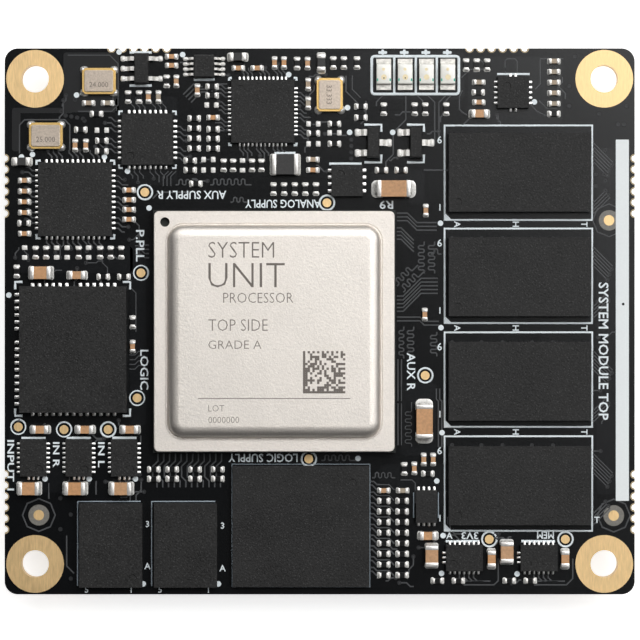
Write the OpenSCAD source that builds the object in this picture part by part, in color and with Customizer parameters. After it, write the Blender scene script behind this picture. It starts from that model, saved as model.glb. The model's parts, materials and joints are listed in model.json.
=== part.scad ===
// System on module: a populated 60 x 52 mm circuit board with a lidded processor,
// four memory chips, storage, power parts and two board-to-board connectors below.
// +Z is up, the origin is under the board's centre at the connectors' mating plane.

/* [Board] */
// Width of the board along X
board_w = 60; // [60:0.5:80]
// Length of the board along Y
board_l = 52; // [52:0.5:70]
// Thickness of the laminate
board_t = 1.6; // [1:0.1:2.4]
// Radius of the board's corners
board_corner_r = 1.25; // [0.5:0.05:2]
// Width of one break-off notch in an edge
notch_d = 0.6; // [0.4:0.05:0.8]
// Spacing of the notches along an edge
notch_pitch = 1.05; // [0.9:0.05:1.3]
// Notches that one break-off tab leaves
notch_count = 6; // [3:1:7]

/* [Gold pads] */
// Distance of each mounting hole's centre from both edges
hole_inset = 2.9; // [2.8:0.1:3.6]
// Bore of a mounting hole inside its plating
hole_d = 2.6; // [2.2:0.1:3.2]
// Outside of the ring around a mounting hole
mount_pad_d = 5.5; // [4.5:0.1:5.6]
// Wall of the plating in a mounting hole
plating_t = 0.05; // [0.03:0.01:0.1]
// Height of a pad above the laminate
pad_t = 0.04; // [0.03:0.01:0.08]
// Diameter of a test pad
test_pad_d = 0.84; // [0.6:0.02:1]
// Diameter of a placement mark
fiducial_d = 1; // [0.8:0.05:1.2]

/* [Processor] */
// Place of the processor's centre along X
processor_x = -4.3; // [-4.8:0.1:-3.8]
// Place of the processor's centre along Y
processor_y = -0.95; // [-1.2:0.05:-0.6]
// Side of the square package base
substrate_w = 23; // [21:0.5:24]
// Thickness of the package base
substrate_t = 1.15; // [0.8:0.05:1.6]
// Height of the processor's solder balls
processor_ball_h = 0.4; // [0.3:0.05:0.6]
// Diameter of the processor's solder balls
processor_ball_d = 0.5; // [0.3:0.05:0.6]
// Spacing of the processor's solder balls
processor_ball_pitch = 0.8; // [0.8:0.05:1.27]
// How far the base stands out past the lid on each side
lid_setback = 0.1; // [0.05:0.05:0.3]
// Thickness of the lid's flange
lid_flange_t = 0.55; // [0.4:0.05:0.8]
// Width of the lid's flange around the raised top
lid_flange_w = 1.35; // [1:0.05:1.8]
// Rise of the lid's top above its flange
lid_rise = 0.95; // [0.8:0.05:1.4]
// Radius where the raised top turns down to the flange
lid_edge_r = 0.8; // [0.4:0.05:0.8]
// Plan radius of the raised top's corners
lid_corner_r = 1.5; // [1:0.05:2.5]
// Plan radius of the flange's corners
flange_corner_r = 0.5; // [0.2:0.05:1]
// Diameter of the marker hole in the lid's flange
marker_hole_d = 0.9; // [0.6:0.05:1]
// Thickness of the adhesive under the lid
adhesive_t = 0.12; // [0.05:0.01:0.2]
// Width of the adhesive band
adhesive_w = 1.2; // [0.6:0.1:1.6]
// Width of the silicon die along X
die_w = 12; // [8:0.5:14]
// Length of the silicon die along Y
die_l = 10; // [8:0.5:14]
// Thickness of the silicon die
die_t = 0.75; // [0.5:0.05:0.8]
// Thickness of the thermal paste between die and lid
paste_t = 0.08; // [0.05:0.01:0.15]

/* [Memory and storage] */
// Length of a memory chip along X
memory_w = 13.5; // [12:0.25:14.5]
// Width of a memory chip along Y
memory_l = 7.5; // [7:0.25:8.5]
// Thickness of a memory chip's moulded body
memory_t = 0.85; // [0.6:0.05:1.2]
// Clear strip between two memory chips
memory_gap = 2.42; // [1.5:0.02:2.6]
// Memory chips in the column
memory_count = 4; // [4:1:4]
// Length of the storage chip along X
storage_w = 13; // [11:0.5:14]
// Width of the storage chip along Y
storage_l = 11.5; // [10:0.5:12]
// Thickness of the storage chip's moulded body
storage_t = 0.7; // [0.5:0.05:1.2]
// Width of a flash chip along X
flash_w = 6; // [5:0.25:6.75]
// Length of a flash chip along Y
flash_l = 8; // [7:0.25:8.75]
// Thickness of a flash chip's moulded body
flash_t = 0.85; // [0.6:0.05:1.2]
// Clear strip between the two flash chips
flash_gap = 1.1; // [0.5:0.1:1.2]
// Height of the chips' solder balls
chip_ball_h = 0.3; // [0.2:0.05:0.4]
// Diameter of the memory chips' solder balls
memory_ball_d = 0.45; // [0.3:0.05:0.5]
// Spacing of the memory chips' solder balls
memory_ball_pitch = 0.8; // [0.7:0.05:0.8]
// Diameter of the storage chip's solder balls
storage_ball_d = 0.3; // [0.2:0.05:0.35]
// Spacing of the storage chip's solder balls
storage_ball_pitch = 0.5; // [0.5:0.05:0.7]
// Spacing of the flash chips' solder balls
flash_ball_pitch = 1; // [0.8:0.05:1.1]

/* [Quad packages] */
// Width of the power module along X
power_w = 10.15; // [9:0.05:10.4]
// Length of the power module along Y
power_l = 12; // [11:0.1:12.4]
// Height of the power module
power_h = 1.6; // [1.2:0.1:4]
// Spacing of the power module's pads
power_pitch = 0.65; // [0.5:0.01:0.7]
// Side of the network transceiver
network_w = 7; // [6:0.25:7.25]
// Side of the port transceiver
port_w = 5; // [4.5:0.25:5.25]
// Side of the clock generator
clock_w = 6; // [5.5:0.25:6.25]
// Side of the load switch and of the linear regulator
switch_w = 3; // [2.5:0.1:3.2]
// Width of the identity memory along X
identity_w = 2; // [1.8:0.1:2.2]
// Length of the identity memory along Y
identity_l = 3.1; // [2.8:0.1:3.2]
// Width of a step-down regulator
buck_w = 2.5; // [2.2:0.1:2.6]
// Length of a step-down regulator
buck_l = 3.5; // [3.2:0.1:3.6]
// Height of the quad packages
quad_h = 0.85; // [0.7:0.05:1]
// Spacing of the wide packages' pads
quad_pitch = 0.5; // [0.4:0.05:0.5]
// Spacing of the clock generator's pads
clock_pitch = 0.4; // [0.4:0.01:0.5]
// Spacing of a step-down regulator's pads
buck_pitch = 0.45; // [0.4:0.01:0.5]
// Thickness of the solder under a quad package
solder_t = 0.05; // [0.03:0.01:0.1]
// Reach of a pad outside its package
pad_reach = 0.34; // [0.2:0.02:0.36]

/* [Leaded packages] */
// Thickness of a formed lead
lead_t = 0.15; // [0.1:0.01:0.2]
// Height of the moulded bodies with leads
lead_body_h = 1; // [0.8:0.05:1.2]
// Gap between a leaded body and the board
lead_standoff = 0.1; // [0.05:0.01:0.15]
// Draft of a moulded body, per side
mould_draft = 0.08; // [0.04:0.01:0.12]

/* [Chip parts] */
// Length of a small chip part
small_l = 1; // [0.8:0.05:1.1]
// Width of a small chip part
small_w = 0.5; // [0.4:0.05:0.6]
// Height of a chip resistor
resistor_h = 0.35; // [0.3:0.05:0.45]
// Height of a small chip capacitor
small_capacitor_h = 0.5; // [0.4:0.05:0.6]
// Length of a metal end on a small chip part
small_end = 0.27; // [0.2:0.01:0.3]
// Thickness of the metal on a chip part's ends
end_t = 0.03; // [0.02:0.005:0.05]
// Length of a medium capacitor
medium_l = 1.6; // [1.4:0.05:1.7]
// Width of a medium capacitor
medium_w = 0.8; // [0.7:0.05:0.85]
// Length of a large capacitor
large_l = 2; // [1.8:0.05:2.1]
// Width of a large capacitor
large_w = 1.25; // [1.1:0.05:1.3]
// Length of a bulk capacitor
bulk_l = 3.2; // [3:0.05:3.3]
// Width of a bulk capacitor
bulk_w = 1.6; // [1.4:0.05:1.7]
// Length of a metal end on the wider capacitors
wide_end = 0.42; // [0.3:0.01:0.5]
// Length of the power inductor along X
inductor_w = 2.5; // [2:0.1:2.6]
// Width of the power inductor along Y
inductor_l = 2; // [1.6:0.1:2.2]
// Height of the power inductor
inductor_h = 1.2; // [0.8:0.1:1.4]
// Length of a crystal's case
crystal_l = 3.2; // [2.5:0.1:3.3]
// Width of a crystal's case
crystal_w = 2.5; // [2:0.1:2.6]
// Height of a crystal's case
crystal_h = 0.6; // [0.5:0.05:0.8]
// Height of a crystal's lid above its case
crystal_lid_t = 0.12; // [0.08:0.01:0.2]
// Rim of the case around a crystal's lid
crystal_rim = 0.22; // [0.15:0.01:0.3]
// Length of an indicator lamp along Y
lamp_l = 2.95; // [2.6:0.05:3.2]
// Width of an indicator lamp along X
lamp_w = 1.4; // [1.2:0.05:1.6]
// Thickness of a lamp's base
lamp_base_t = 0.35; // [0.25:0.05:0.5]
// Height of a lamp's lens above its base
lamp_lens_h = 0.55; // [0.4:0.05:0.8]
// Bare length at each end of a lamp's base
lamp_end = 0.45; // [0.35:0.05:0.55]
// Lamps in the row
lamp_count = 4; // [4:1:4]
// Spacing of the lamps along the row
lamp_pitch = 2.03; // [2:0.01:2.1]

/* [Connectors] */
// Length of a connector's housing
connector_l = 45; // [40:0.5:46]
// Width of a connector's housing
connector_w = 5.2; // [4.6:0.1:5.6]
// Height of a connector below the board
connector_h = 4; // [3:0.1:6]
// Distance of a connector's centre line from the board's edge
connector_inset = 4.2; // [4:0.1:5]
// Thickness of the housing's side walls
connector_wall = 0.7; // [0.5:0.05:0.9]
// Thickness of the housing's end walls
connector_end = 1.5; // [1:0.1:2]
// Thickness of the housing's floor next to the board
connector_floor = 1.1; // [0.8:0.05:1.4]
// Width of the rail along the middle of the housing
rail_w = 1.6; // [1.2:0.05:1.8]
// Setback of the rail's tip from the mating plane
rail_setback = 0.5; // [0.3:0.05:0.8]
// Spacing of the contacts
contact_pitch = 0.5; // [0.4:0.05:0.8]
// Width of a contact
contact_w = 0.2; // [0.15:0.01:0.3]
// Thickness of a contact's strip
contact_t = 0.15; // [0.1:0.01:0.2]
// Reach of a contact's foot outside the housing
contact_foot = 0.6; // [0.4:0.05:0.7]
// Room around a contact in its slot
contact_clearance = 0.05; // [0.02:0.01:0.1]

/* [Hidden] */
$fn = 32;
// Small overhang that lets one cut pass through a face
cut = 0.1;
// Guard against rounding where a count is taken from a length
count_guard = 0.001;

// The placement plan was drawn for this board; on a larger one the outer groups stay with their edges
plan_w = 60;
plan_l = 52;
// Limits of the plan's middle group
plan_west = -16.2;
plan_east = 7.4;
plan_south = -13.4;
plan_north = 11.5;

board_z = connector_h;
top_z = board_z + board_t;

function spread(v, low, high, growth) =
  v < low ? v - growth / 2 : v > high ? v + growth / 2 : v;
function at(p) = [
  spread(p.x, plan_west, plan_east, board_w - plan_w),
  spread(p.y, plan_south, plan_north, board_l - plan_l)
];
// A row holds its first centre, its number of parts and the step between neighbours
function places(rows) = [
  for (r = rows) for (i = [0 : r[1] - 1]) at(r[0]) + i * r[2]
];
function fitted(side, margin, pitch) = floor((side - 2 * margin) / pitch + count_guard) + 1;

// Places of single parts
power_at = at([-23.43, -2.67]);
network_at = at([-23.27, 11.6]);
port_at = at([-16.4, 17.3]);
clock_at = at([-5.42, 19.97]);
switch_at = at([18.4, 21.77]);
regulator_at = at([2.6, 13.39]);
identity_at = at([10.15, -17.6]);
supervisor_at = at([-16.95, 24.05]);
buffer_at = at([-11, 24.25]);
inductor_at = at([-3.28, 14.92]);
storage_at = at([-1.78, -19.48]);
flash_at = at([-16.3, -21.28]);
memory_at = at([19, -0.73]);
lamp_at = at([6.1, 23.5]);
transistor_places = places([[[5.1, 17], 2, [4.05, 0]]]);
buck_upright_places = places([[[-27.25, -13], 3, [4.33, 0]]]);
buck_flat_places = places([[[13.75, -22.5], 2, [7.1, 0]]]);

// Edges of the power module that its neighbours keep clear of
power_right = power_at.x + power_w / 2;
power_top = power_at.y + power_l / 2;
// Clear strip beside the power module, and from its top pads to the parts above
power_side_gap = 0.3;
power_row_gap = 0.32;
power_row_y = power_top + pad_reach + power_row_gap;

resistors_flat = concat(
  places([
    [[-10.25, 21.5], 2, [0, 0.85]],
    [[-11.95, 16.45], 4, [0, 0.96]],
    [[-10.15, 16.45], 3, [0, 0.92]],
    [[-12.33, 14.4], 2, [0, 0.9]],
    [[-11.8, 13.1], 1, [0, 0]],
    [[3.92, 19.4], 2, [0, 1.05]],
    [[1.4, 16.9], 2, [0, 1.9]],
    [[-0.6, 17.9], 1, [0, 0]],
    [[15.1, 21.8], 1, [0, 0]],
    [[22.3, 19.75], 1, [0, 0]],
    [[5.88, 14.4], 2, [1.87, 0]],
    [[-21.25, 19.75], 1, [0, 0]],
    [[-22.75, 18.25], 1, [0, 0]],
    [[-20.75, 16.2], 2, [0, 1]],
    [[-28.15, 9.35], 1, [0, 0]],
    [[-15.8, -14.1], 2, [1.75, 0]],
    [[-11.87, -14.1], 2, [2.17, 0]],
    [[-15.8, -15], 2, [1.75, 0]],
    [[-11.87, -15], 2, [2.17, 0]],
    [[10.3, -14.5], 1, [0, 0]],
    [[6.1, -17.1], 8, [0, -1.01]],
    [[7.85, -17.1], 8, [0, -1.01]],
    [[11.2, -24.7], 2, [2, 0]],
    [[18.05, -24.7], 2, [2, 0]]
  ]),
  [for (x = [-20.6, -18.65]) [at([x, 0]).x, power_row_y + small_w / 2]]
);
resistors_upright = concat(
  places([
    [[-18.25, 21.35], 2, [1.05, 0]],
    [[-14.57, 22.85], 1, [0, 0]],
    [[-9.15, 14.85], 2, [0.9, 0]],
    [[-6.45, 14.85], 2, [0.9, 0]],
    [[-2.15, 24.55], 1, [0, 0]],
    [[1.3, 24.6], 2, [1, 0]],
    [[3.55, 24.6], 1, [0, 0]],
    [[6.1, 20.2], 1, [0, 0]],
    [[9.05, 20.2], 2, [1, 0]],
    [[12.05, 20.2], 1, [0, 0]],
    [[13.95, 24.4], 3, [1, 0]],
    [[-4.4, 12.6], 5, [1.01, 0]],
    [[-27.05, 6.55], 2, [1, 0]],
    [[-22.95, 6.55], 1, [0, 0]],
    [[-20.9, 6.55], 3, [1, 0]],
    [[-28.85, 4.75], 1, [0, 0]],
    [[8.05, -14.05], 1, [0, 0]]
  ]),
  [[power_right + power_side_gap + small_w / 2, -0.08]]
);
capacitors_flat = places([
  [[-14.1, 24.35], 2, [0, 0.85]],
  [[-10.15, 19.4], 1, [0, 0]],
  [[-7.75, 24.1], 2, [1.8, 0]],
  [[-0.65, 14.4], 2, [0, 1]],
  [[15.15, 20.85], 2, [0, 1.9]],
  [[22.3, 20.72], 5, [0, 1.01]],
  [[-22, 20.78], 2, [1.8, 0]],
  [[-28.1, 10.35], 4, [0, 1.02]],
  [[-28.1, 8.35], 1, [0, 0]],
  [[-18.15, 9.7], 4, [0, 0.93]],
  [[6.1, -16.1], 2, [1.8, 0]]
]);
capacitors_upright = concat(
  places([
    [[-13.65, 22.85], 1, [0, 0]],
    [[-16.3, 21.35], 2, [0.95, 0]],
    [[-11.65, 22], 1, [0, 0]],
    [[-4.3, 24.6], 2, [0.9, 0]],
    [[-1.15, 24.55], 1, [0, 0]],
    [[-1.1, 20.75], 2, [0, 1.8]],
    [[-23.28, 16.75], 2, [1.02, 0]],
    [[9, -14], 1, [0, 0]],
    [[9.9, -13.15], 2, [0.9, 0]],
    [[10.1, 10.55], 1, [0, 0]],
    [[10, 0.65], 1, [0, 0]]
  ]),
  [[power_right + power_side_gap + small_w / 2, -2.4]]
);
medium_flat = concat(
  places([
    [[15.2, 19.75], 1, [0, 0]],
    [[-26.6, -10.3], 3, [4.27, 0]],
    [[10.3, -20.4], 1, [0, 0]]
  ]),
  [[at([-23.1, 0]).x, power_row_y + medium_w / 2]]
);
medium_upright = places([[[16.35, -22.6], 2, [7, 0]]]);
large_flat = concat(
  places([[[-27.65, -15.9], 3, [4.38, 0]]]),
  [[at([-26.53, 0]).x, power_row_y + large_w / 2]]
);
large_upright = places([[[10.65, -22.3], 1, [0, 0]], [[17.8, -21.95], 1, [0, 0]]]);
bulk_flat = places([[[7.04, 12.6], 1, [0, 0]]]);
bulk_upright = places([[[9.95, -9.5], 1, [0, 0]]]);
beads_flat = places([[[-7.8, 25.15], 1, [0, 0]], [[-28.35, 15.2], 1, [0, 0]]]);
beads_upright = places([[[0.15, 24.6], 1, [0, 0]]]);
crystals_flat = places([[[-21, 22.85], 1, [0, 0]], [[-26.05, 17.65], 1, [0, 0]]]);
crystals_upright = places([[[0.95, 21.55], 1, [0, 0]]]);
test_pad_places = places([
  [[-16.65, 12.3], 1, [0, 0]],
  [[0.69, 11.29], 1, [0, 0]],
  [[-17.02, 4.62], 1, [0, 0]],
  [[-17.38, -7.3], 1, [0, 0]],
  [[-28.7, -10.05], 1, [0, 0]],
  [[-24.35, -10.3], 2, [4.2, 0]],
  [[-1.04, -13.1], 1, [0, 0]],
  [[10.05, -5.15], 1, [0, 0]],
  [[16.15, -20.75], 2, [7.25, 0]]
]);
fiducial_places = places([
  [[-26.75, -18.45], 1, [0, 0]],
  [[27.55, 9.62], 1, [0, 0]],
  [[28, -18.5], 1, [0, 0]]
]);
// Decoupling capacitors on the underside, in a block behind the processor
under_columns = 6;
under_rows = 5;
under_pitch = [2.4, 2];
under_places = [
  for (i = [0 : under_columns - 1], j = [0 : under_rows - 1]) [
    processor_x + (i - (under_columns - 1) / 2) * under_pitch.x,
    processor_y + (j - (under_rows - 1) / 2) * under_pitch.y
  ]
];
// Break-off tabs: top edge by X, left and right edges by Y
top_tabs = [for (x = [-17.2, 16.9]) at([x, 0]).x];
side_tabs = [for (y = [12.9, -17.2]) at([0, y]).y];

// Heights inside the processor package
lid_w = substrate_w - 2 * lid_setback;
raised_w = lid_w - 2 * lid_flange_w;
substrate_z = top_z + processor_ball_h;
die_z = substrate_z + substrate_t;
lid_z = die_z + adhesive_t;
lid_ceiling_z = die_z + die_t + paste_t;
lid_top_z = lid_z + lid_flange_t + lid_rise;
// Side of the hollow under the lid, inside the adhesive band
hollow_margin = 2.9;
hollow_w = lid_w - 2 * hollow_margin;
adhesive_inner_gap = 0.3;
marker_inset = 1.05;

// Margins from a package's corner to its first pad or ball
processor_ball_margin = 0.7;
memory_row_margin = 0.75;
memory_column_margin = 0.55;
quad_margin = 0.75;
switch_margin = 0.5;
identity_margin = 0.25;
buck_side_margin = 0.4;
buck_end_margin = 0.7;
power_side_margin = 0.75;
power_end_margin = 1.1;
// Shares of a pad: width against spacing, length under the body, height of the solder against the body
pad_width_share = 0.55;
pad_under = 0.4;
fillet_h = 0.25;
fillet_foot = 0.05;
// Moulded marks
dimple_d = 0.7;
dimple_depth = 0.05;
dimple_inset = 0.9;

connector_y = board_l / 2 - connector_inset;
housing_top_z = board_z - contact_t;
cavity_w = connector_w - 2 * connector_wall;
cavity_l = connector_l - 2 * connector_end;
cavity_top_z = housing_top_z - connector_floor;
contact_margin = 1.2;
contact_count = fitted(cavity_l, contact_margin, contact_pitch);
contact_span = (contact_count - 1) * contact_pitch;
contact_tip_z = rail_setback + 0.4;
// Polarising step in one wall of the housing
key_l = 3;
key_depth = 1.2;

// Shared shapes

// Rectangle with round corners, centred
module rounded_plan(w, l, r) {
  square([w - 2 * r, l], center = true);
  square([w, l - 2 * r], center = true);
  for (x = [-1, 1], y = [-1, 1])
    translate([x * (w / 2 - r), y * (l / 2 - r)])
      circle(r);
}

// Block centred in plan that stands on z = 0
module block(w, l, h) {
  translate([-w / 2, -l / 2, 0])
    cube([w, l, h]);
}

module put(list, turn = 0) {
  for (p = list)
    translate([p.x, p.y, top_z])
      rotate(turn)
        children();
}

// The same on the underside, upside down
module put_under(list) {
  for (p = list)
    translate([p.x, p.y, board_z])
      rotate([180, 0, 0])
        children();
}

module grid(columns, rows, pitch_x, pitch_y) {
  for (i = [0 : columns - 1], j = [0 : rows - 1])
    translate([(i - (columns - 1) / 2) * pitch_x, (j - (rows - 1) / 2) * pitch_y, 0])
      children();
}

// Moulded body whose four sides draft both ways from the parting line at mid-height
module moulded_body(w, l, h) {
  intersection() {
    rotate([90, 0, 0])
      linear_extrude(height = l, center = true)
        polygon([
          [-w / 2 + mould_draft, 0], [w / 2 - mould_draft, 0], [w / 2, h / 2],
          [w / 2 - mould_draft, h], [-w / 2 + mould_draft, h], [-w / 2, h / 2]
        ]);
    rotate([90, 0, 90])
      linear_extrude(height = w, center = true)
        polygon([
          [-l / 2 + mould_draft, 0], [l / 2 - mould_draft, 0], [l / 2, h / 2],
          [l / 2 - mould_draft, h], [-l / 2 + mould_draft, h], [-l / 2, h / 2]
        ]);
  }
}

// Sawn leadless body with a marker dimple in its top
module quad_body(w, l, h, dimple) {
  translate([0, 0, solder_t])
    difference() {
      block(w, l, h - solder_t);
      translate([dimple.x, dimple.y, h - solder_t - dimple_depth])
        cylinder(h = dimple_depth + cut, d = dimple_d);
    }
}

function dimple_at(w, l) = [-w / 2 + dimple_inset, l / 2 - dimple_inset];

// One soldered pad at the origin: the body lies at y < 0, the pad reaches out along +Y
module soldered_pad(width) {
  rotate([90, 0, 90])
    linear_extrude(height = width, center = true)
      polygon([
        [-pad_under, 0], [pad_reach, 0], [pad_reach, solder_t], [fillet_foot, fillet_h],
        [0, fillet_h], [0, solder_t], [-pad_under, solder_t]
      ]);
}

// Row of pads along one side of a body: half is the distance from the centre to that side
module pad_row(side, half, margin, pitch, turn, skip = -1) {
  count = fitted(side, margin, pitch);
  rotate(turn)
    for (i = [0 : count - 1])
      if (i != skip)
        translate([(i - (count - 1) / 2) * pitch, half, 0])
          soldered_pad(pitch * pad_width_share);
}

module quad_pads(w, margin, pitch) {
  for (turn = [0, 90, 180, 270])
    pad_row(w, w / 2, margin, pitch, turn);
}

// Formed lead at the origin: it leaves the body's side at y = 0 and stands on the board
module formed_lead(width, reach) {
  knee = reach * 0.3;
  foot = reach * 0.55;
  z = lead_standoff + lead_body_h / 2;
  rotate([90, 0, 90])
    linear_extrude(height = width, center = true)
      polygon([
        [0, z + lead_t / 2], [knee, z + lead_t / 2], [foot, lead_t], [reach, lead_t],
        [reach, 0], [foot - lead_t, 0], [knee - lead_t, z - lead_t / 2], [0, z - lead_t / 2]
      ]);
}

module lead_row(count, pitch, half, width, reach, turn) {
  rotate(turn)
    for (i = [0 : count - 1])
      translate([(i - (count - 1) / 2) * pitch, half, 0])
        formed_lead(width, reach);
}

// Chip part lying along X: the body between its metal ends, and the ends themselves
module chip_body(l, w, h) {
  translate([0, 0, end_t])
    block(l - 2 * end_t, w - 2 * end_t, h - 2 * end_t);
}

module chip_ends(l, w, h, end) {
  for (side = [0, 180])
    rotate(side)
      difference() {
        translate([l / 2 - end, -w / 2, 0])
          cube([end, w, h]);
        translate([l / 2 - end - cut, -w / 2 + end_t, end_t])
          cube([end + cut - end_t, w - 2 * end_t, h - 2 * end_t]);
      }
}

// A chip resistor's ends fold over the top and the bottom only
module resistor_ends() {
  for (side = [0, 180])
    rotate([90, 0, side])
      linear_extrude(height = small_w, center = true)
        polygon([
          [small_l / 2 - small_end, 0], [small_l / 2, 0], [small_l / 2, resistor_h],
          [small_l / 2 - small_end, resistor_h], [small_l / 2 - small_end, resistor_h - end_t],
          [small_l / 2 - end_t, resistor_h - end_t], [small_l / 2 - end_t, end_t],
          [small_l / 2 - small_end, end_t]
        ]);
}

// Board and gold pads

module hole_places(z) {
  for (x = [-1, 1], y = [-1, 1])
    translate([x * (board_w / 2 - hole_inset), y * (board_l / 2 - hole_inset), z])
      children();
}

module notch_row() {
  for (i = [0 : notch_count - 1])
    translate([(i - (notch_count - 1) / 2) * notch_pitch, 0])
      circle(d = notch_d);
}

module circuit_board() {
  color([0.09, 0.1, 0.11])
    difference() {
      translate([0, 0, board_z])
        linear_extrude(height = board_t)
          difference() {
            rounded_plan(board_w, board_l, board_corner_r);
            for (x = top_tabs)
              translate([x, board_l / 2])
                notch_row();
            for (y = side_tabs, side = [-1, 1])
              translate([side * board_w / 2, y])
                rotate(90)
                  notch_row();
          }
      hole_places(board_z - cut)
        cylinder(h = board_t + 2 * cut, d = hole_d + 2 * plating_t);
    }
}

// Plated hole: a barrel through the board with a ring on each face
module mounting_pads() {
  color([0.85, 0.68, 0.36])
    hole_places(board_z)
      rotate_extrude()
        polygon([
          [hole_d / 2, -pad_t], [mount_pad_d / 2, -pad_t], [mount_pad_d / 2, 0],
          [hole_d / 2 + plating_t, 0], [hole_d / 2 + plating_t, board_t],
          [mount_pad_d / 2, board_t], [mount_pad_d / 2, board_t + pad_t], [hole_d / 2, board_t + pad_t]
        ]);
}

module test_pads() {
  color([0.85, 0.68, 0.36])
    put(test_pad_places)
      cylinder(h = pad_t, d = test_pad_d);
}

module fiducial_pads() {
  color([0.85, 0.68, 0.36])
    put(fiducial_places)
      cylinder(h = pad_t, d = fiducial_d);
}

// Processor package

module at_processor(z) {
  translate([processor_x, processor_y, z])
    children();
}

module processor_substrate() {
  color([0.16, 0.2, 0.17])
    at_processor(substrate_z)
      block(substrate_w, substrate_w, substrate_t);
}

// Section of the raised top's edge: u runs outwards from the corner centre, v up from the flange
module raised_edge_section() {
  square([lid_corner_r - lid_edge_r, lid_rise]);
  square([lid_corner_r, lid_rise - lid_edge_r]);
  translate([lid_corner_r - lid_edge_r, lid_rise - lid_edge_r])
    intersection() {
      circle(lid_edge_r);
      square(lid_edge_r);
    }
}

// Raised top with rolled edges: a middle block, four straight rims and four turned corners
module raised_top() {
  inner = raised_w - 2 * lid_corner_r;
  block(inner, inner, lid_rise);
  for (turn = [0, 90, 180, 270])
    rotate(turn) {
      translate([inner / 2, 0, 0])
        rotate([90, 0, 0])
          linear_extrude(height = inner, center = true)
            raised_edge_section();
      translate([inner / 2, inner / 2, 0])
        rotate_extrude(angle = 90)
          raised_edge_section();
    }
}

module processor_lid() {
  marker = [-lid_w / 2 + marker_inset, lid_w / 2 - marker_inset];
  color([0.8, 0.78, 0.75])
    at_processor(lid_z)
      difference() {
        union() {
          linear_extrude(height = lid_flange_t)
            rounded_plan(lid_w, lid_w, flange_corner_r);
          translate([0, 0, lid_flange_t])
            raised_top();
        }
        translate([0, 0, -cut])
          block(hollow_w, hollow_w, lid_ceiling_z - lid_z + cut);
        translate([marker.x, marker.y, -cut])
          cylinder(h = lid_flange_t + 2 * cut, d = marker_hole_d);
      }
}

module processor_die() {
  color([0.3, 0.31, 0.35])
    at_processor(die_z)
      block(die_w, die_l, die_t);
}

module thermal_paste() {
  color([0.7, 0.7, 0.7])
    at_processor(die_z + die_t)
      block(die_w, die_l, paste_t);
}

module lid_adhesive() {
  inner = hollow_w + 2 * adhesive_inner_gap;
  color([0.15, 0.15, 0.15])
    at_processor(die_z)
      difference() {
        block(inner + 2 * adhesive_w, inner + 2 * adhesive_w, adhesive_t);
        translate([0, 0, -cut])
          block(inner, inner, adhesive_t + 2 * cut);
      }
}

module processor_solder_balls() {
  count = fitted(substrate_w, processor_ball_margin, processor_ball_pitch);
  color([0.75, 0.76, 0.78])
    at_processor(top_z)
      grid(count, count, processor_ball_pitch, processor_ball_pitch)
        cylinder(h = processor_ball_h, d = processor_ball_d, $fn = 16);
}

// Memory and storage

memory_pitch = memory_l + memory_gap;
memory_places = [
  for (i = [0 : memory_count - 1])
    [memory_at.x, memory_at.y + ((memory_count - 1) / 2 - i) * memory_pitch]
];
flash_places = [for (side = [-1, 1]) [flash_at.x + side * (flash_w + flash_gap) / 2, flash_at.y]];

// Moulded chip on solder balls, with a marker dimple in its top
module ball_chip(w, l, t, dimple) {
  translate([0, 0, chip_ball_h])
    difference() {
      block(w, l, t);
      translate([dimple.x, dimple.y, t - dimple_depth])
        cylinder(h = dimple_depth + cut, d = dimple_d);
    }
}

module memory_chip(i) {
  color([0.17, 0.17, 0.17])
    put([memory_places[i - 1]])
      ball_chip(memory_w, memory_l, memory_t, [-memory_w / 2 + dimple_inset, -memory_l / 2 + dimple_inset]);
}

// Two banks of three ball columns, with the three columns between them left out
module memory_solder_balls() {
  rows = fitted(memory_w, memory_row_margin, memory_ball_pitch);
  columns = fitted(memory_l, memory_column_margin, memory_ball_pitch);
  color([0.75, 0.76, 0.78])
    put(memory_places)
      for (side = [-1, 1])
        translate([0, side * (columns - 3) / 2 * memory_ball_pitch, 0])
          grid(rows, 3, memory_ball_pitch, memory_ball_pitch)
            cylinder(h = chip_ball_h, d = memory_ball_d, $fn = 16);
}

module storage_chip() {
  color([0.17, 0.17, 0.17])
    put([storage_at])
      ball_chip(storage_w, storage_l, storage_t, [storage_w / 2 - 1.6, storage_l / 2 - 1.6]);
}

// Square rings of balls around an empty middle
module storage_solder_balls() {
  count = 14;
  empty = 4;
  color([0.75, 0.76, 0.78])
    put([storage_at])
      for (i = [0 : count - 1], j = [0 : count - 1])
        if (max(abs(i - (count - 1) / 2), abs(j - (count - 1) / 2)) > empty)
          translate([(i - (count - 1) / 2) * storage_ball_pitch, (j - (count - 1) / 2) * storage_ball_pitch, 0])
            cylinder(h = chip_ball_h, d = storage_ball_d, $fn = 16);
}

module flash_chip(i) {
  color([0.17, 0.17, 0.17])
    put([flash_places[i - 1]])
      ball_chip(flash_w, flash_l, flash_t, [flash_w / 2 - dimple_inset, -flash_l / 2 + dimple_inset]);
}

module flash_solder_balls() {
  color([0.75, 0.76, 0.78])
    put(flash_places)
      grid(5, 5, flash_ball_pitch, flash_ball_pitch)
        cylinder(h = chip_ball_h, d = memory_ball_d, $fn = 16);
}

// Leadless packages

module power_module() {
  color([0.18, 0.18, 0.18])
    put([power_at])
      quad_body(power_w, power_l, power_h, dimple_at(power_w, power_l));
}

// One long side and both short sides carry pads, with the middle pad of the top row left out
module power_module_pads() {
  color([0.8, 0.8, 0.8])
    put([power_at]) {
      pad_row(power_l, power_w / 2, power_side_margin, power_pitch, 90, 10);
      pad_row(power_w, power_l / 2, power_end_margin, power_pitch, 0, 6);
      pad_row(power_w, power_l / 2, power_end_margin, power_pitch, 180);
    }
}

module network_transceiver() {
  color([0.17, 0.17, 0.17])
    put([network_at])
      quad_body(network_w, network_w, quad_h, dimple_at(network_w, network_w));
}

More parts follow.
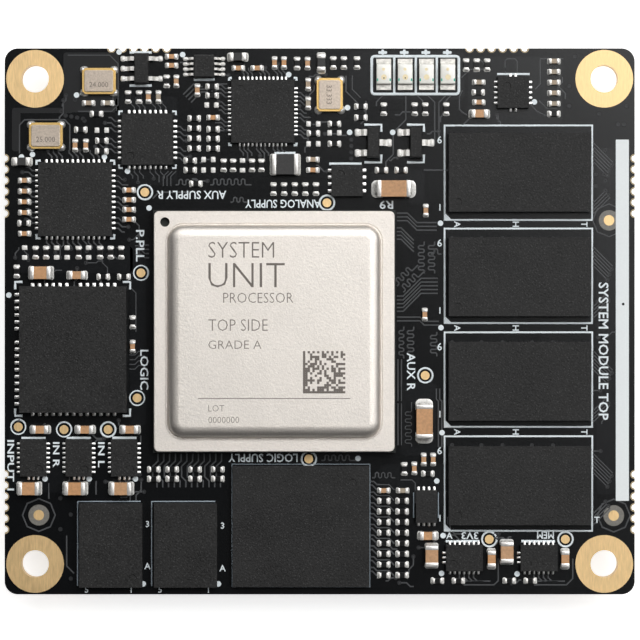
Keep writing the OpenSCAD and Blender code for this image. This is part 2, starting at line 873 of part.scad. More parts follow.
module network_transceiver_pads() {
  color([0.8, 0.8, 0.8])
    put([network_at])
      quad_pads(network_w, quad_margin, quad_pitch);
}

// Punched package: its sides draft like a moulded body's
module port_transceiver() {
  color([0.17, 0.17, 0.17])
    put([port_at])
      translate([0, 0, solder_t])
        difference() {
          moulded_body(port_w, port_w, quad_h - solder_t);
          translate([-port_w / 2 + dimple_inset, -port_w / 2 + dimple_inset, quad_h - solder_t - dimple_depth])
            cylinder(h = dimple_depth + cut, d = dimple_d);
        }
}

module port_transceiver_pads() {
  color([0.8, 0.8, 0.8])
    put([port_at])
      quad_pads(port_w, quad_margin, quad_pitch);
}

module clock_generator() {
  color([0.17, 0.17, 0.17])
    put([clock_at])
      quad_body(clock_w, clock_w, quad_h, dimple_at(clock_w, clock_w));
}

module clock_generator_pads() {
  color([0.8, 0.8, 0.8])
    put([clock_at])
      quad_pads(clock_w, quad_margin, clock_pitch);
}

module load_switch() {
  color([0.17, 0.17, 0.17])
    put([switch_at])
      quad_body(switch_w, switch_w, quad_h, dimple_at(switch_w, switch_w));
}

module linear_regulator() {
  color([0.17, 0.17, 0.17])
    put([regulator_at])
      quad_body(switch_w, switch_w, quad_h, dimple_at(switch_w, switch_w));
}

module identity_memory() {
  color([0.17, 0.17, 0.17])
    put([identity_at])
      quad_body(identity_w, identity_l, quad_h, [identity_w / 2 - dimple_d, identity_l / 2 - dimple_d]);
}

// The first three stand along Y, the other two lie along X
module buck_regulator(i) {
  upright = i <= len(buck_upright_places);
  place = upright ? buck_upright_places[i - 1] : buck_flat_places[i - 1 - len(buck_upright_places)];
  color([0.17, 0.17, 0.17])
    put([place], upright ? 0 : -90)
      quad_body(buck_w, buck_l, quad_h, [buck_w / 2 - dimple_d, -buck_l / 2 + dimple_d]);
}

module buck_pads() {
  for (turn = [90, 270])
    pad_row(buck_l, buck_w / 2, buck_side_margin, buck_pitch, turn);
  pad_row(buck_w, buck_l / 2, buck_end_margin, buck_pitch, 180);
}

module small_package_pads() {
  end_margin = switch_w / 2 - quad_pitch / 2;
  color([0.8, 0.8, 0.8]) {
    put([switch_at]) {
      for (turn = [90, 270])
        pad_row(switch_w, switch_w / 2, switch_margin, quad_pitch, turn);
      for (turn = [0, 180])
        pad_row(switch_w, switch_w / 2, end_margin, quad_pitch, turn);
    }
    put([regulator_at])
      for (turn = [90, 270])
        pad_row(switch_w, switch_w / 2, switch_margin, power_pitch, turn);
    put([identity_at])
      for (turn = [0, 180])
        pad_row(identity_w, identity_l / 2, identity_margin, quad_pitch, turn);
    put(buck_upright_places)
      buck_pads();
    put(buck_flat_places, -90)
      buck_pads();
  }
}

// Leaded packages: body size, lead spacing, lead width and reach

supervisor_size = [1.4, 2.95];
supervisor_pitch = 0.95;
supervisor_lead = [0.4, 1.2];
buffer_size = [2, 2.2];
buffer_pitch = 0.5;
buffer_lead = [0.22, 0.9];
transistor_size = [1.2, 2.95];
transistor_pitch = 1.95;
transistor_lead = [0.6, 1.05];

module leaded_body(size) {
  color([0.15, 0.15, 0.15])
    translate([0, 0, lead_standoff])
      moulded_body(size.x, size.y, lead_body_h);
}

module reset_supervisor() {
  put([supervisor_at])
    leaded_body(supervisor_size);
}

module bus_buffer() {
  put([buffer_at])
    leaded_body(buffer_size);
}

module transistor(i) {
  put([transistor_places[i - 1]])
    leaded_body(transistor_size);
}

module formed_leads() {
  color([0.82, 0.82, 0.8]) {
    put([supervisor_at]) {
      lead_row(3, supervisor_pitch, supervisor_size.x / 2, supervisor_lead[0], supervisor_lead[1], 90);
      lead_row(2, 2 * supervisor_pitch, supervisor_size.x / 2, supervisor_lead[0], supervisor_lead[1], 270);
    }
    put([buffer_at])
      for (turn = [90, 270])
        lead_row(4, buffer_pitch, buffer_size.x / 2, buffer_lead[0], buffer_lead[1], turn);
    put(transistor_places) {
      lead_row(2, transistor_pitch, transistor_size.x / 2, transistor_lead[0], transistor_lead[1], 90);
      lead_row(1, 0, transistor_size.x / 2, transistor_lead[0], transistor_lead[1], 270);
    }
  }
}

// Crystals and lamps

// Ceramic case with a scooped corner at each solder pad
module crystal_case() {
  scoop_r = crystal_rim;
  difference() {
    block(crystal_l, crystal_w, crystal_h);
    for (x = [-1, 1], y = [-1, 1])
      translate([x * crystal_l / 2, y * crystal_w / 2, -cut])
        cylinder(h = crystal_h + 2 * cut, r = scoop_r);
  }
}

module crystal_lid() {
  w = crystal_l - 2 * crystal_rim;
  l = crystal_w - 2 * crystal_rim;
  translate([0, 0, crystal_h])
    linear_extrude(height = crystal_lid_t)
      rounded_plan(w, l, crystal_rim);
}

module crystal_cases() {
  color([0.72, 0.6, 0.36]) {
    put(crystals_flat)
      crystal_case();
    put(crystals_upright, 90)
      crystal_case();
  }
}

module crystal_lids() {
  color([0.6, 0.6, 0.6]) {
    put(crystals_flat)
      crystal_lid();
    put(crystals_upright, 90)
      crystal_lid();
  }
}

lamp_places = [for (i = [0 : lamp_count - 1]) lamp_at + [i * lamp_pitch, 0]];
// Metal that wraps each end of a lamp's base
lamp_wrap_t = 0.05;
lamp_lens_draft = 0.1;

module lamp_bases() {
  color([0.93, 0.93, 0.9])
    put(lamp_places)
      translate([0, 0, lamp_wrap_t])
        block(lamp_w, lamp_l - 2 * lamp_wrap_t, lamp_base_t - lamp_wrap_t);
}

// Clear lens whose end faces slope in towards its top
module lamp_lenses() {
  half = lamp_l / 2 - lamp_end;
  color([0.95, 0.93, 0.82])
    put(lamp_places)
      translate([0, 0, lamp_base_t])
        rotate([90, 0, 90])
          linear_extrude(height = lamp_w, center = true)
            polygon([
              [-half, 0], [half, 0], [half - lamp_lens_draft, lamp_lens_h], [-half + lamp_lens_draft, lamp_lens_h]
            ]);
}

// Metal folded round each end: over the top as far as the lens, and under the base
module lamp_terminals() {
  top = lamp_base_t + lamp_wrap_t;
  inner = lamp_l / 2 - lamp_end;
  color([0.85, 0.85, 0.82])
    put(lamp_places)
      for (side = [0, 180])
        rotate([90, 0, 90 + side])
          linear_extrude(height = lamp_w, center = true)
            polygon([
              [inner, 0], [lamp_l / 2, 0], [lamp_l / 2, top], [inner, top], [inner, lamp_base_t],
              [lamp_l / 2 - lamp_wrap_t, lamp_base_t], [lamp_l / 2 - lamp_wrap_t, lamp_wrap_t],
              [inner, lamp_wrap_t]
            ]);
}

// Chip parts

module resistor_bodies() {
  color([0.08, 0.08, 0.08]) {
    put(resistors_flat)
      translate([0, 0, end_t])
        block(small_l - 2 * end_t, small_w, resistor_h - 2 * end_t);
    put(resistors_upright, 90)
      translate([0, 0, end_t])
        block(small_l - 2 * end_t, small_w, resistor_h - 2 * end_t);
  }
}

module resistor_terminals() {
  color([0.88, 0.88, 0.87]) {
    put(resistors_flat)
      resistor_ends();
    put(resistors_upright, 90)
      resistor_ends();
  }
}

module capacitor_bodies() {
  color([0.72, 0.54, 0.38]) {
    put(capacitors_flat)
      chip_body(small_l, small_w, small_capacitor_h);
    put(capacitors_upright, 90)
      chip_body(small_l, small_w, small_capacitor_h);
    put_under(under_places)
      chip_body(small_l, small_w, small_capacitor_h);
  }
}

module capacitor_terminals() {
  color([0.88, 0.88, 0.87]) {
    put(capacitors_flat)
      chip_ends(small_l, small_w, small_capacitor_h, small_end);
    put(capacitors_upright, 90)
      chip_ends(small_l, small_w, small_capacitor_h, small_end);
    put_under(under_places)
      chip_ends(small_l, small_w, small_capacitor_h, small_end);
  }
}

// The wider capacitors are as high as they are wide
module bulk_capacitor_bodies() {
  color([0.66, 0.48, 0.33]) {
    put(medium_flat)
      chip_body(medium_l, medium_w, medium_w);
    put(medium_upright, 90)
      chip_body(medium_l, medium_w, medium_w);
    put(large_flat)
      chip_body(large_l, large_w, large_w);
    put(large_upright, 90)
      chip_body(large_l, large_w, large_w);
    put(bulk_flat)
      chip_body(bulk_l, bulk_w, bulk_w);
    put(bulk_upright, 90)
      chip_body(bulk_l, bulk_w, bulk_w);
  }
}

module bulk_capacitor_terminals() {
  color([0.88, 0.88, 0.87]) {
    put(medium_flat)
      chip_ends(medium_l, medium_w, medium_w, wide_end);
    put(medium_upright, 90)
      chip_ends(medium_l, medium_w, medium_w, wide_end);
    put(large_flat)
      chip_ends(large_l, large_w, large_w, wide_end);
    put(large_upright, 90)
      chip_ends(large_l, large_w, large_w, wide_end);
    put(bulk_flat)
      chip_ends(bulk_l, bulk_w, bulk_w, wide_end);
    put(bulk_upright, 90)
      chip_ends(bulk_l, bulk_w, bulk_w, wide_end);
  }
}

module ferrite_bead_bodies() {
  color([0.25, 0.24, 0.24]) {
    put(beads_flat)
      chip_body(medium_l, medium_w, medium_w);
    put(beads_upright, 90)
      chip_body(medium_l, medium_w, medium_w);
  }
}

module power_inductor() {
  color([0.25, 0.25, 0.25])
    put([inductor_at])
      chip_body(inductor_w, inductor_l, inductor_h);
}

module inductor_terminals() {
  color([0.88, 0.88, 0.87]) {
    put(beads_flat)
      chip_ends(medium_l, medium_w, medium_w, wide_end);
    put(beads_upright, 90)
      chip_ends(medium_l, medium_w, medium_w, wide_end);
    put([inductor_at])
      chip_ends(inductor_w, inductor_l, inductor_h, wide_end);
  }
}

// Connectors on the underside

module at_connector(i) {
  translate([0, (i == 1 ? 1 : -1) * connector_y, 0])
    children();
}

// Shroud around a rail, with a slot on each side of the rail where the contacts come through the floor
module connector_housing(i) {
  slot_w = contact_t + contact_clearance;
  slot_l = contact_span + contact_w + 2 * contact_clearance;
  color([0.1, 0.1, 0.1])
    at_connector(i) {
      difference() {
        block(connector_l, connector_w, housing_top_z);
        difference() {
          translate([0, 0, -cut])
            block(cavity_l, cavity_w, cavity_top_z + cut);
          translate([0, 0, rail_setback])
            block(cavity_l - 2 * contact_margin, rail_w, cavity_top_z);
        }
        for (side = [-1, 1])
          translate([0, side * (rail_w + slot_w) / 2, cavity_top_z - cut])
            block(slot_l, slot_w, connector_floor + 2 * cut);
        translate([0, -connector_w / 2, -cut])
          block(key_l, 2 * (connector_wall + cut), key_depth + cut);
      }
      for (side = [-1, 1])
        translate([side * (connector_l - connector_end) / 2, 0, housing_top_z])
          block(connector_end, connector_w, contact_t);
    }
}

// A foot on the board, and a blade that runs along the rail
module contact() {
  rotate([90, 0, 90])
    linear_extrude(height = contact_w, center = true)
      polygon([
        [rail_w / 2, contact_tip_z], [rail_w / 2 + contact_t, contact_tip_z],
        [rail_w / 2 + contact_t, housing_top_z], [connector_w / 2 + contact_foot, housing_top_z],
        [connector_w / 2 + contact_foot, board_z], [rail_w / 2, board_z]
      ]);
}

module connector_contacts() {
  color([0.82, 0.7, 0.42])
    for (i = [1, 2])
      at_connector(i)
        for (turn = [0, 180])
          rotate(turn)
            for (k = [0 : contact_count - 1])
              translate([(k - (contact_count - 1) / 2) * contact_pitch, 0, 0])
                contact();
}

circuit_board();
mounting_pads();
test_pads();
fiducial_pads();
processor_substrate();
processor_lid();
processor_die();
thermal_paste();
lid_adhesive();
processor_solder_balls();
for (i = [1 : memory_count])
  memory_chip(i);
memory_solder_balls();
storage_chip();
storage_solder_balls();
for (i = [1, 2])
  flash_chip(i);
flash_solder_balls();
power_module();
power_module_pads();
network_transceiver();
network_transceiver_pads();
port_transceiver();
port_transceiver_pads();
clock_generator();
clock_generator_pads();
load_switch();
linear_regulator();
identity_memory();
for (i = [1 : 5])
  buck_regulator(i);
small_package_pads();
reset_supervisor();
bus_buffer();
for (i = [1, 2])
  transistor(i);
formed_leads();
crystal_cases();
crystal_lids();
lamp_bases();
lamp_lenses();
lamp_terminals();
resistor_bodies();
resistor_terminals();
capacitor_bodies();
capacitor_terminals();
bulk_capacitor_bodies();
bulk_capacitor_terminals();
ferrite_bead_bodies();
power_inductor();
inductor_terminals();
for (i = [1, 2])
  connector_housing(i);
connector_contacts();
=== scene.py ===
"""Looks of the system on module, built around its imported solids."""

import json
import logging
import math
import random
from collections.abc import Iterable, Sequence
from dataclasses import dataclass, field
from enum import Enum

import bmesh
import bpy
from mathutils import Matrix, Vector

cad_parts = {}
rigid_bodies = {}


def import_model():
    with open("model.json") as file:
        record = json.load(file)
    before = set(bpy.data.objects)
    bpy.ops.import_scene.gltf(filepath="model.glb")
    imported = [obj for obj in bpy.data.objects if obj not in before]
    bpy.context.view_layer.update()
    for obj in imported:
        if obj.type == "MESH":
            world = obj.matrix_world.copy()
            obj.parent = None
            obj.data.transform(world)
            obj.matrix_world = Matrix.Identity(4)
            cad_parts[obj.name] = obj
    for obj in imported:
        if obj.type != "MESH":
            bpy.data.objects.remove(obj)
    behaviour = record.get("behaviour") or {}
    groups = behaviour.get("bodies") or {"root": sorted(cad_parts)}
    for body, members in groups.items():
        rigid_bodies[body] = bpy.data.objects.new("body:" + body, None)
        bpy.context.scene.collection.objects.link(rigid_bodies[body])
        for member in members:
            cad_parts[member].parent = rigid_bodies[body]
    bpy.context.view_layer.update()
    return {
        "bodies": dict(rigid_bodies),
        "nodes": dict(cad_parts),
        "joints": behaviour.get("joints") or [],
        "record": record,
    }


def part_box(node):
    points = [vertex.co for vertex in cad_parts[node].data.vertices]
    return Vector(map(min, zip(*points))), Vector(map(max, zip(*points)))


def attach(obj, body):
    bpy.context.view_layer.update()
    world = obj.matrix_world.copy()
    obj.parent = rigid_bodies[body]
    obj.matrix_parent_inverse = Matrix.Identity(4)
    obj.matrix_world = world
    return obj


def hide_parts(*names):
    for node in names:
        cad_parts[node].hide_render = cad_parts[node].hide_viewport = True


LOG = logging.getLogger("system_on_module")
MM = 0.001
BODY = "root"
TINT = "tint"
FINISH_TAG = "_finish"
MERGE_DISTANCE = 1e-7
LEVEL_TOLERANCE = 1e-9
FLAT_ANGLE = math.radians(1.0)
SHARP_ANGLE = math.radians(30.0)
FLAT_COSINE = 0.9995
STEEP_COSINE = 0.5
BOARD_TOP = 5.6
BOARD_UNDER = 4.0

Triple = tuple[float, float, float]
Colour = Triple
Point = tuple[float, float]
Path = Sequence[Point]
Box = tuple[Vector, Vector]
BMesh = bmesh.types.BMesh
Mesh = bpy.types.Mesh
Nodes = dict[str, bpy.types.Object]
Socket = bpy.types.NodeSocket
Value = Socket | float | Sequence[float]
Inputs = dict[str | int, Value]
Copies = Iterable[tuple[Mesh, Matrix]]


class Turn(Enum):
    """Ways a line of print is turned, in degrees."""

    UPRIGHT = 0
    DOWNWARD = -90
    INVERTED = 180


class Rounded(Enum):
    """What a rounding takes up: the edges of a solid or the corners of a flat face."""

    EDGES = "EDGES"
    CORNERS = "VERTICES"


@dataclass
class Wiring:
    """Adds nodes to one node tree and joins them."""

    tree: bpy.types.NodeTree
    noise_detail: float = 4.0
    noise_roughness: float = 0.6

    def feed(self, node: bpy.types.Node, inputs: Inputs) -> None:
        """Joins sockets to a node's inputs and sets plain values on them.

        Args:
            node: Node that takes them.
            inputs: Socket or value for each input, by its name or number.
        """
        for key, value in inputs.items():
            if isinstance(value, Socket):
                self.tree.links.new(value, node.inputs[key])
            else:
                node.inputs[key].default_value = value

    def add(self, kind: str, inputs: Inputs | None = None, **settings: object) -> bpy.types.Node:
        """Adds one node.

        Args:
            kind: Its type, without the ShaderNode in front.
            inputs: Socket or value for each input.
            settings: Its own settings, such as its operation.

        Returns:
            The new node.
        """
        node = self.tree.nodes.new("ShaderNode" + kind)
        for name, value in settings.items():
            setattr(node, name, value)
        self.feed(node, inputs or {})
        return node

    def math(self, operation: str, *values: Value) -> Socket:
        """Adds one math node and gives its result."""
        return self.add("Math", dict(enumerate(values)), operation=operation).outputs["Value"]

    def noise(self, vector: Socket, scale: Socket) -> Socket:
        """Adds one noise texture and gives its value."""
        fixed = {"Detail": self.noise_detail, "Roughness": self.noise_roughness}
        return self.add("TexNoise", {"Vector": vector, "Scale": scale, **fixed}).outputs["Fac"]


class GrainGroup:
    """Node group for grain: mottled colour, uneven gloss and a height for bump."""

    NAME = "surface_grain"
    VALUES = ("Scale", "Mottle", "Fleck", "Gloss", "Spread")
    BROAD_SHARE = 0.05
    BROAD_WEIGHT = 0.4
    FLECK_SHARE = 0.75
    FLECK_RIM = 0.28
    FLECK_CORE = 0.08

    def tree(self) -> bpy.types.NodeTree:
        """Gives the group, built at the first call.

        Returns:
            The shader node group.
        """
        made = bpy.data.node_groups.get(self.NAME)
        if made:
            return made
        tree = bpy.data.node_groups.new(self.NAME, "ShaderNodeTree")
        kinds = {"Vector": "Vector", "Base": "Color", **dict.fromkeys(self.VALUES, "Float")}
        for name, kind in kinds.items():
            tree.interface.new_socket(name=name, in_out="INPUT", socket_type="NodeSocket" + kind)
        for name, kind in (("Color", "Color"), ("Roughness", "Float"), ("Height", "Float")):
            tree.interface.new_socket(name=name, in_out="OUTPUT", socket_type="NodeSocket" + kind)
        given = tree.nodes.new("NodeGroupInput").outputs
        taken = tree.nodes.new("NodeGroupOutput")
        net = Wiring(tree)
        fine = net.noise(given["Vector"], given["Scale"])
        broad = net.noise(given["Vector"], net.math("MULTIPLY", given["Scale"], self.BROAD_SHARE))
        soft = net.math("MULTIPLY_ADD", broad, self.BROAD_WEIGHT, (1 - self.BROAD_WEIGHT) / 2)
        both = net.math("ADD", fine, soft)
        swing = net.math("SUBTRACT", both, 1.0)
        shade = net.math("MULTIPLY_ADD", swing, given["Mottle"], 1.0)
        tinted = net.add("VectorMath", {0: given["Base"], "Scale": shade}, operation="SCALE")
        fleck_scale = net.math("MULTIPLY", given["Scale"], self.FLECK_SHARE)
        cells = net.add("TexVoronoi", {"Vector": given["Vector"], "Scale": fleck_scale})
        limits = {"From Min": self.FLECK_RIM, "From Max": self.FLECK_CORE}
        spot = net.add("MapRange", {"Value": cells.outputs["Distance"], **limits})
        fleck = net.math("MULTIPLY", spot.outputs["Result"], given["Fleck"])
        speckled = net.add("VectorMath", {0: tinted.outputs["Vector"], 1: fleck}, operation="ADD")
        gloss = net.math("MULTIPLY_ADD", swing, given["Spread"], given["Gloss"])
        net.feed(taken, {"Color": speckled.outputs["Vector"], "Roughness": gloss, "Height": both})
        return tree


@dataclass(frozen=True)
class Finish:
    """One procedural finish: the grain group with its own values in front of a shader."""

    name: str
    colour: Colour
    metallic: float = 0.0
    gloss: float = 0.5
    spread: float = 0.1
    scale: float = 6000.0
    mottle: float = 0.2
    fleck: float = 0.0
    bump: float = 0.1
    bump_mm: float = 0.02
    specular: float = 0.5
    second: Colour | None = None
    stretch: Triple = (1.0, 1.0, 1.0)

    def build(self) -> bpy.types.Material:
        """Makes the material, or gives the one already made.

        Returns:
            The node-based material.
        """
        title = self.name + FINISH_TAG
        made = bpy.data.materials.get(title)
        if made:
            return made
        material = bpy.data.materials.new(title)
        material.use_nodes = True
        net = Wiring(material.node_tree)
        place = net.add("TexCoord").outputs["Object"]
        drawn = net.add("VectorMath", {0: place, 1: self.stretch}, operation="MULTIPLY")
        grain = net.add("Group", node_tree=GrainGroup().tree())
        net.feed(grain, {
            "Vector": drawn.outputs["Vector"], "Base": self.base(net), "Scale": self.scale,
            "Mottle": self.mottle, "Fleck": self.fleck, "Gloss": self.gloss, "Spread": self.spread,
        })
        relief = {"Strength": self.bump, "Distance": self.bump_mm * MM, "Height": grain.outputs["Height"]}
        net.feed(material.node_tree.nodes["Principled BSDF"], {
            "Base Color": grain.outputs["Color"], "Roughness": grain.outputs["Roughness"],
            "Metallic": self.metallic, "Specular IOR Level": self.specular,
            "Normal": net.add("Bump", relief).outputs["Normal"],
        })
        return material

    def base(self, net: Wiring) -> Value:
        """Gives the plain colour, or two colours mixed by the piece's own tint attribute.

        Args:
            net: Wiring of the material.

        Returns:
            The colour, or the socket that has it.
        """
        colour = (*self.colour, 1.0)
        if not self.second:
            return colour
        tint = net.add("Attribute", attribute_name=TINT).outputs["Fac"]
        mix = net.add("Mix", data_type="RGBA")
        net.feed(mix, {"Factor": tint, "A": colour, "B": (*self.second, 1.0)})
        return mix.outputs["Result"]


MASK = Finish("black_solder_mask", (0.0022, 0.0027, 0.0034), gloss=0.22, scale=5200, mottle=0.4, bump=0.12,
              bump_mm=0.01, specular=0.36)
# Tracks under the mask: their own tone is a little lighter than the mask, and the rest of this light colour
# is painted sheen for the light caught on their raised edges.
MASKED_COPPER_AND_PAINTED_SHEEN = Finish("mask_over_copper_and_painted_sheen", (0.08, 0.083, 0.087), gloss=0.32, scale=5200, mottle=0.4,
                       bump_mm=0.01, specular=0.35)
MASKED_VIA = Finish("mask_over_via", (0.024, 0.025, 0.027), gloss=0.32, scale=5200, mottle=0.3, bump_mm=0.01,
                    specular=0.4)
POUR = Finish("mask_over_pour", (0.005, 0.0057, 0.0068), gloss=0.22, scale=5200, mottle=0.3, bump=0.12,
              bump_mm=0.01, specular=0.4)
SHIELD = Finish("mask_over_shield", (0.0165, 0.017, 0.018), gloss=0.35, spread=0.12, scale=5200, mottle=0.3,
                bump=0.12, bump_mm=0.01, specular=0.22)
LAMINATE = Finish("bare_laminate", (0.5, 0.4, 0.25), gloss=0.7, scale=9000, mottle=0.5, fleck=0.05, bump=0.3)
BARE_RING = Finish("bare_ring", (0.2, 0.19, 0.168), gloss=0.4, scale=5200, mottle=1.0, bump=0.2)
PRINT = Finish("white_print", (0.86, 0.93, 0.96), gloss=0.6, scale=7000, mottle=0.25, bump=0.25)
FAINT_PRINT = Finish("thin_print", (0.34, 0.4, 0.45), gloss=0.6, scale=5200, mottle=0.8, bump=0.25)
STRIP = Finish("white_strip", (0.92, 0.965, 0.97), gloss=0.6, scale=5200, mottle=0.1, bump=0.2)
GOLD = Finish("plated_gold", (0.78, 0.555, 0.285), metallic=1.0, gloss=0.45, spread=0.3, scale=8000,
              mottle=0.6, bump=0.7, bump_mm=0.012, stretch=(1.0, 0.12, 1.0))
CONTACT_GOLD = Finish("contact_gold", (0.74, 0.52, 0.22), metallic=1.0, gloss=0.25, scale=7000, mottle=0.12)
LID = Finish("blasted_nickel", (0.8, 0.75, 0.695), metallic=1.0, gloss=0.49, spread=0.06, scale=6200,
             mottle=0.3, bump=0.8)
ETCH = Finish("etched_marking", (0.2, 0.175, 0.155), metallic=0.3, gloss=0.7, scale=12000, mottle=0.35,
              bump=0.2)
SUBSTRATE = Finish("package_base", (0.012, 0.015, 0.013), scale=5000, mottle=0.3, specular=0.3)
SILICON = Finish("polished_silicon", (0.09, 0.092, 0.105), metallic=0.6, gloss=0.2, scale=2000, mottle=0.1)
PASTE = Finish("thermal_paste", (0.42, 0.42, 0.41), gloss=0.7, scale=4000, bump=0.4)
ADHESIVE = Finish("lid_adhesive", (0.02, 0.02, 0.021), gloss=0.6, scale=4000, bump=0.3)
SOLDER = Finish("bright_solder", (0.9, 0.885, 0.85), metallic=0.12, gloss=0.28, spread=0.14, scale=4200,
                mottle=0.3, bump=0.15)
TIN = Finish("tinned_metal", (0.84, 0.82, 0.785), metallic=0.5, gloss=0.34, spread=0.16, scale=4600,
             mottle=0.5, bump=0.4)
PAD_TIN = Finish("tinned_pads", (0.95, 0.94, 0.92), metallic=0.8, gloss=0.36, spread=0.14, scale=4600,
                 mottle=0.3, bump=0.3)
MOULD = Finish("black_mould", (0.0135, 0.0133, 0.0132), gloss=0.52, spread=0.4, scale=5600, mottle=4.4,
               fleck=0.045, bump=0.7, bump_mm=0.04, specular=0.3)
CASE = Finish("crystal_case", (0.82, 0.55, 0.2), metallic=0.85, gloss=0.32, scale=5000, mottle=0.3, bump=0.2)
CRYSTAL_LID = Finish("crystal_lid", (0.51, 0.435, 0.365), metallic=1.0, gloss=0.4, scale=5200, mottle=0.8,
                     bump=0.4)
LAMP_BASE = Finish("lamp_base", (0.8, 0.8, 0.76), gloss=0.45, scale=5000, mottle=0.1)
LENS = Finish("lamp_lens", (1.0, 0.985, 0.92), gloss=0.2, spread=0.05, scale=2600, specular=0.8)
PHOSPHOR = Finish("yellow_phosphor", (1.0, 0.86, 0.55), gloss=0.4, mottle=0.4, bump=0.2)
LAMP_END = Finish("lamp_end_plating", (0.62, 0.6, 0.56), metallic=0.75, gloss=0.36, spread=0.3, scale=3200,
                  mottle=1.4, bump=0.6, bump_mm=0.03)
GREEN_MARK = Finish("green_mark", (0.03, 0.5, 0.34), mottle=0.4)
LAMP_CHIP = Finish("lamp_chip", (0.05, 0.04, 0.03), gloss=0.4)
RESISTOR = Finish("resistor_glaze", (0.006, 0.006, 0.0066), gloss=0.3, scale=5000, mottle=0.3, bump=0.12,
                  specular=0.3)
CERAMIC = Finish("capacitor_ceramic", (0.62, 0.32, 0.14), gloss=0.4, spread=0.12, scale=3600, mottle=0.8,
                 bump=0.25, second=(0.4, 0.34, 0.26))
FERRITE = Finish("dark_ferrite", (0.024, 0.023, 0.023), scale=5200, mottle=1.4, fleck=0.02, bump=0.4)
PLASTIC = Finish("connector_plastic", (0.014, 0.014, 0.015), scale=3500, mottle=0.25, bump=0.2)

BALL_OWNERS = ("processor", "memory", "storage", "flash")
NODE_FINISHES: dict[str, Finish] = {
    **dict.fromkeys(("mounting_pads", "test_pads", "fiducial_pads"), GOLD),
    **{owner + "_solder_balls": SOLDER for owner in BALL_OWNERS},
    "processor_substrate": SUBSTRATE,
    "processor_die": SILICON,
    "thermal_paste": PASTE,
    "lid_adhesive": ADHESIVE,
    "formed_leads": TIN,
    "lamp_terminals": LAMP_END,
    "connector_contacts": CONTACT_GOLD,
}


def to_mesh(bm: BMesh, name: str) -> Mesh:
    """Turns a bmesh into a mesh and frees it.

    Args:
        bm: Shape to turn over.
        name: Name of the mesh.

    Returns:
        The new mesh.
    """
    mesh = bpy.data.meshes.new(name)
    bm.to_mesh(mesh)
    bm.free()
    return mesh


def link_piece(
    name: str,
    shape: BMesh | Mesh,
    finishes: Sequence[Finish],
    replaced: Sequence[str] = (),
    smooth: bool = False,
) -> None:
    """Puts a finished shape into the scene as a piece that rides on the board.

    Args:
        name: Name of the piece.
        shape: Bmesh or mesh with its place in its vertices.
        finishes: Finishes in the order of its material indices.
        replaced: CAD nodes that the piece stands for.
        smooth: Whether round surfaces are shaded smooth.
    """
    mesh = to_mesh(shape, name) if isinstance(shape, BMesh) else shape
    piece = bpy.data.objects.new(name, mesh)
    bpy.context.scene.collection.objects.link(piece)
    for finish in finishes:
        mesh.materials.append(finish.build())
    if smooth:
        mesh.shade_smooth()
        mesh.set_sharp_from_angle(angle=SHARP_ANGLE)
    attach(piece, BODY)
    if replaced:
        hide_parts(*replaced)
    LOG.info("piece %s: %d faces", name, len(mesh.polygons))


def baked(holder: bpy.types.Object) -> Mesh:
    """Puts an object into the scene and turns what it shows into a new mesh.

    Args:
        holder: Object with a curve, a text or modifiers.

    Returns:
        The new mesh.
    """
    bpy.context.scene.collection.objects.link(holder)
    graph = bpy.context.evaluated_depsgraph_get()
    return bpy.data.meshes.new_from_object(holder.evaluated_get(graph))


def from_curve(curve: bpy.types.Curve) -> Mesh:
    """Turns a curve or a line of text into a mesh and removes it.

    Args:
        curve: The curve's data.

    Returns:
        The new mesh.
    """
    holder = bpy.data.objects.new(curve.name, curve)
    mesh = baked(holder)
    bpy.data.objects.remove(holder)
    bpy.data.curves.remove(curve)
    return mesh


def merged_copy(node: bpy.types.Object) -> BMesh:
    """Copies a CAD node's triangles into one closed shape with whole flat faces.

    Args:
        node: The CAD node's object.

    Returns:
        A new bmesh.
    """
    bm = bmesh.new()
    bm.from_mesh(node.data)
    bmesh.ops.remove_doubles(bm, verts=bm.verts, dist=MERGE_DISTANCE)
    bmesh.ops.dissolve_limit(bm, angle_limit=FLAT_ANGLE, verts=bm.verts, edges=bm.edges)
    return bm


def bevel(bm: BMesh, geom: Sequence, radius: float, segments: int, what: Rounded = Rounded.EDGES) -> None:
    """Rounds edges of a solid or corners of a flat face.

    Args:
        bm: Shape to work on.
        geom: Its edges or vertices that are rounded.
        radius: Radius of the rounding in millimetres.
        segments: Steps across the rounding.
        what: Whether edges or corners are rounded.
    """
    bmesh.ops.bevel(bm, geom=geom, offset=radius * MM, offset_type="OFFSET", affect=what.value,
                    segments=segments, profile=0.5, material=-1, clamp_overlap=True)


def ease_edges(bm: BMesh, radius: float, segments: int) -> None:
    """Rounds every sharp edge of a shape, by a radius in millimetres."""
    sharp = [e for e in bm.edges if len(e.link_faces) == 2 and e.calc_face_angle() > SHARP_ANGLE]
    bevel(bm, sharp, radius, segments)


def lift(bm: BMesh, height: float, verts: Iterable[bmesh.types.BMVert] | None = None) -> None:
    """Moves a shape, or some of its vertices, up by a height in millimetres."""
    bmesh.ops.translate(bm, vec=(0.0, 0.0, height * MM), verts=bm.verts if verts is None else verts)


def halve(bm: BMesh, normal: Triple) -> None:
    """Cuts a shape through the origin and closes what is left.

    Args:
        bm: Shape to cut.
        normal: Direction of the side that stays.
    """
    everything = bm.verts[:] + bm.edges[:] + bm.faces[:]
    bmesh.ops.bisect_plane(bm, geom=everything, plane_co=(0.0, 0.0, 0.0), plane_no=normal, clear_inner=True)
    bmesh.ops.contextual_create(bm, geom=[e for e in bm.edges if e.is_boundary])
    bmesh.ops.recalc_face_normals(bm, faces=bm.faces)


def picked(geom: Iterable, kind: type) -> list:
    """Picks the vertices, edges or faces out of what an operator gives back."""
    return [part for part in geom if isinstance(part, kind)]


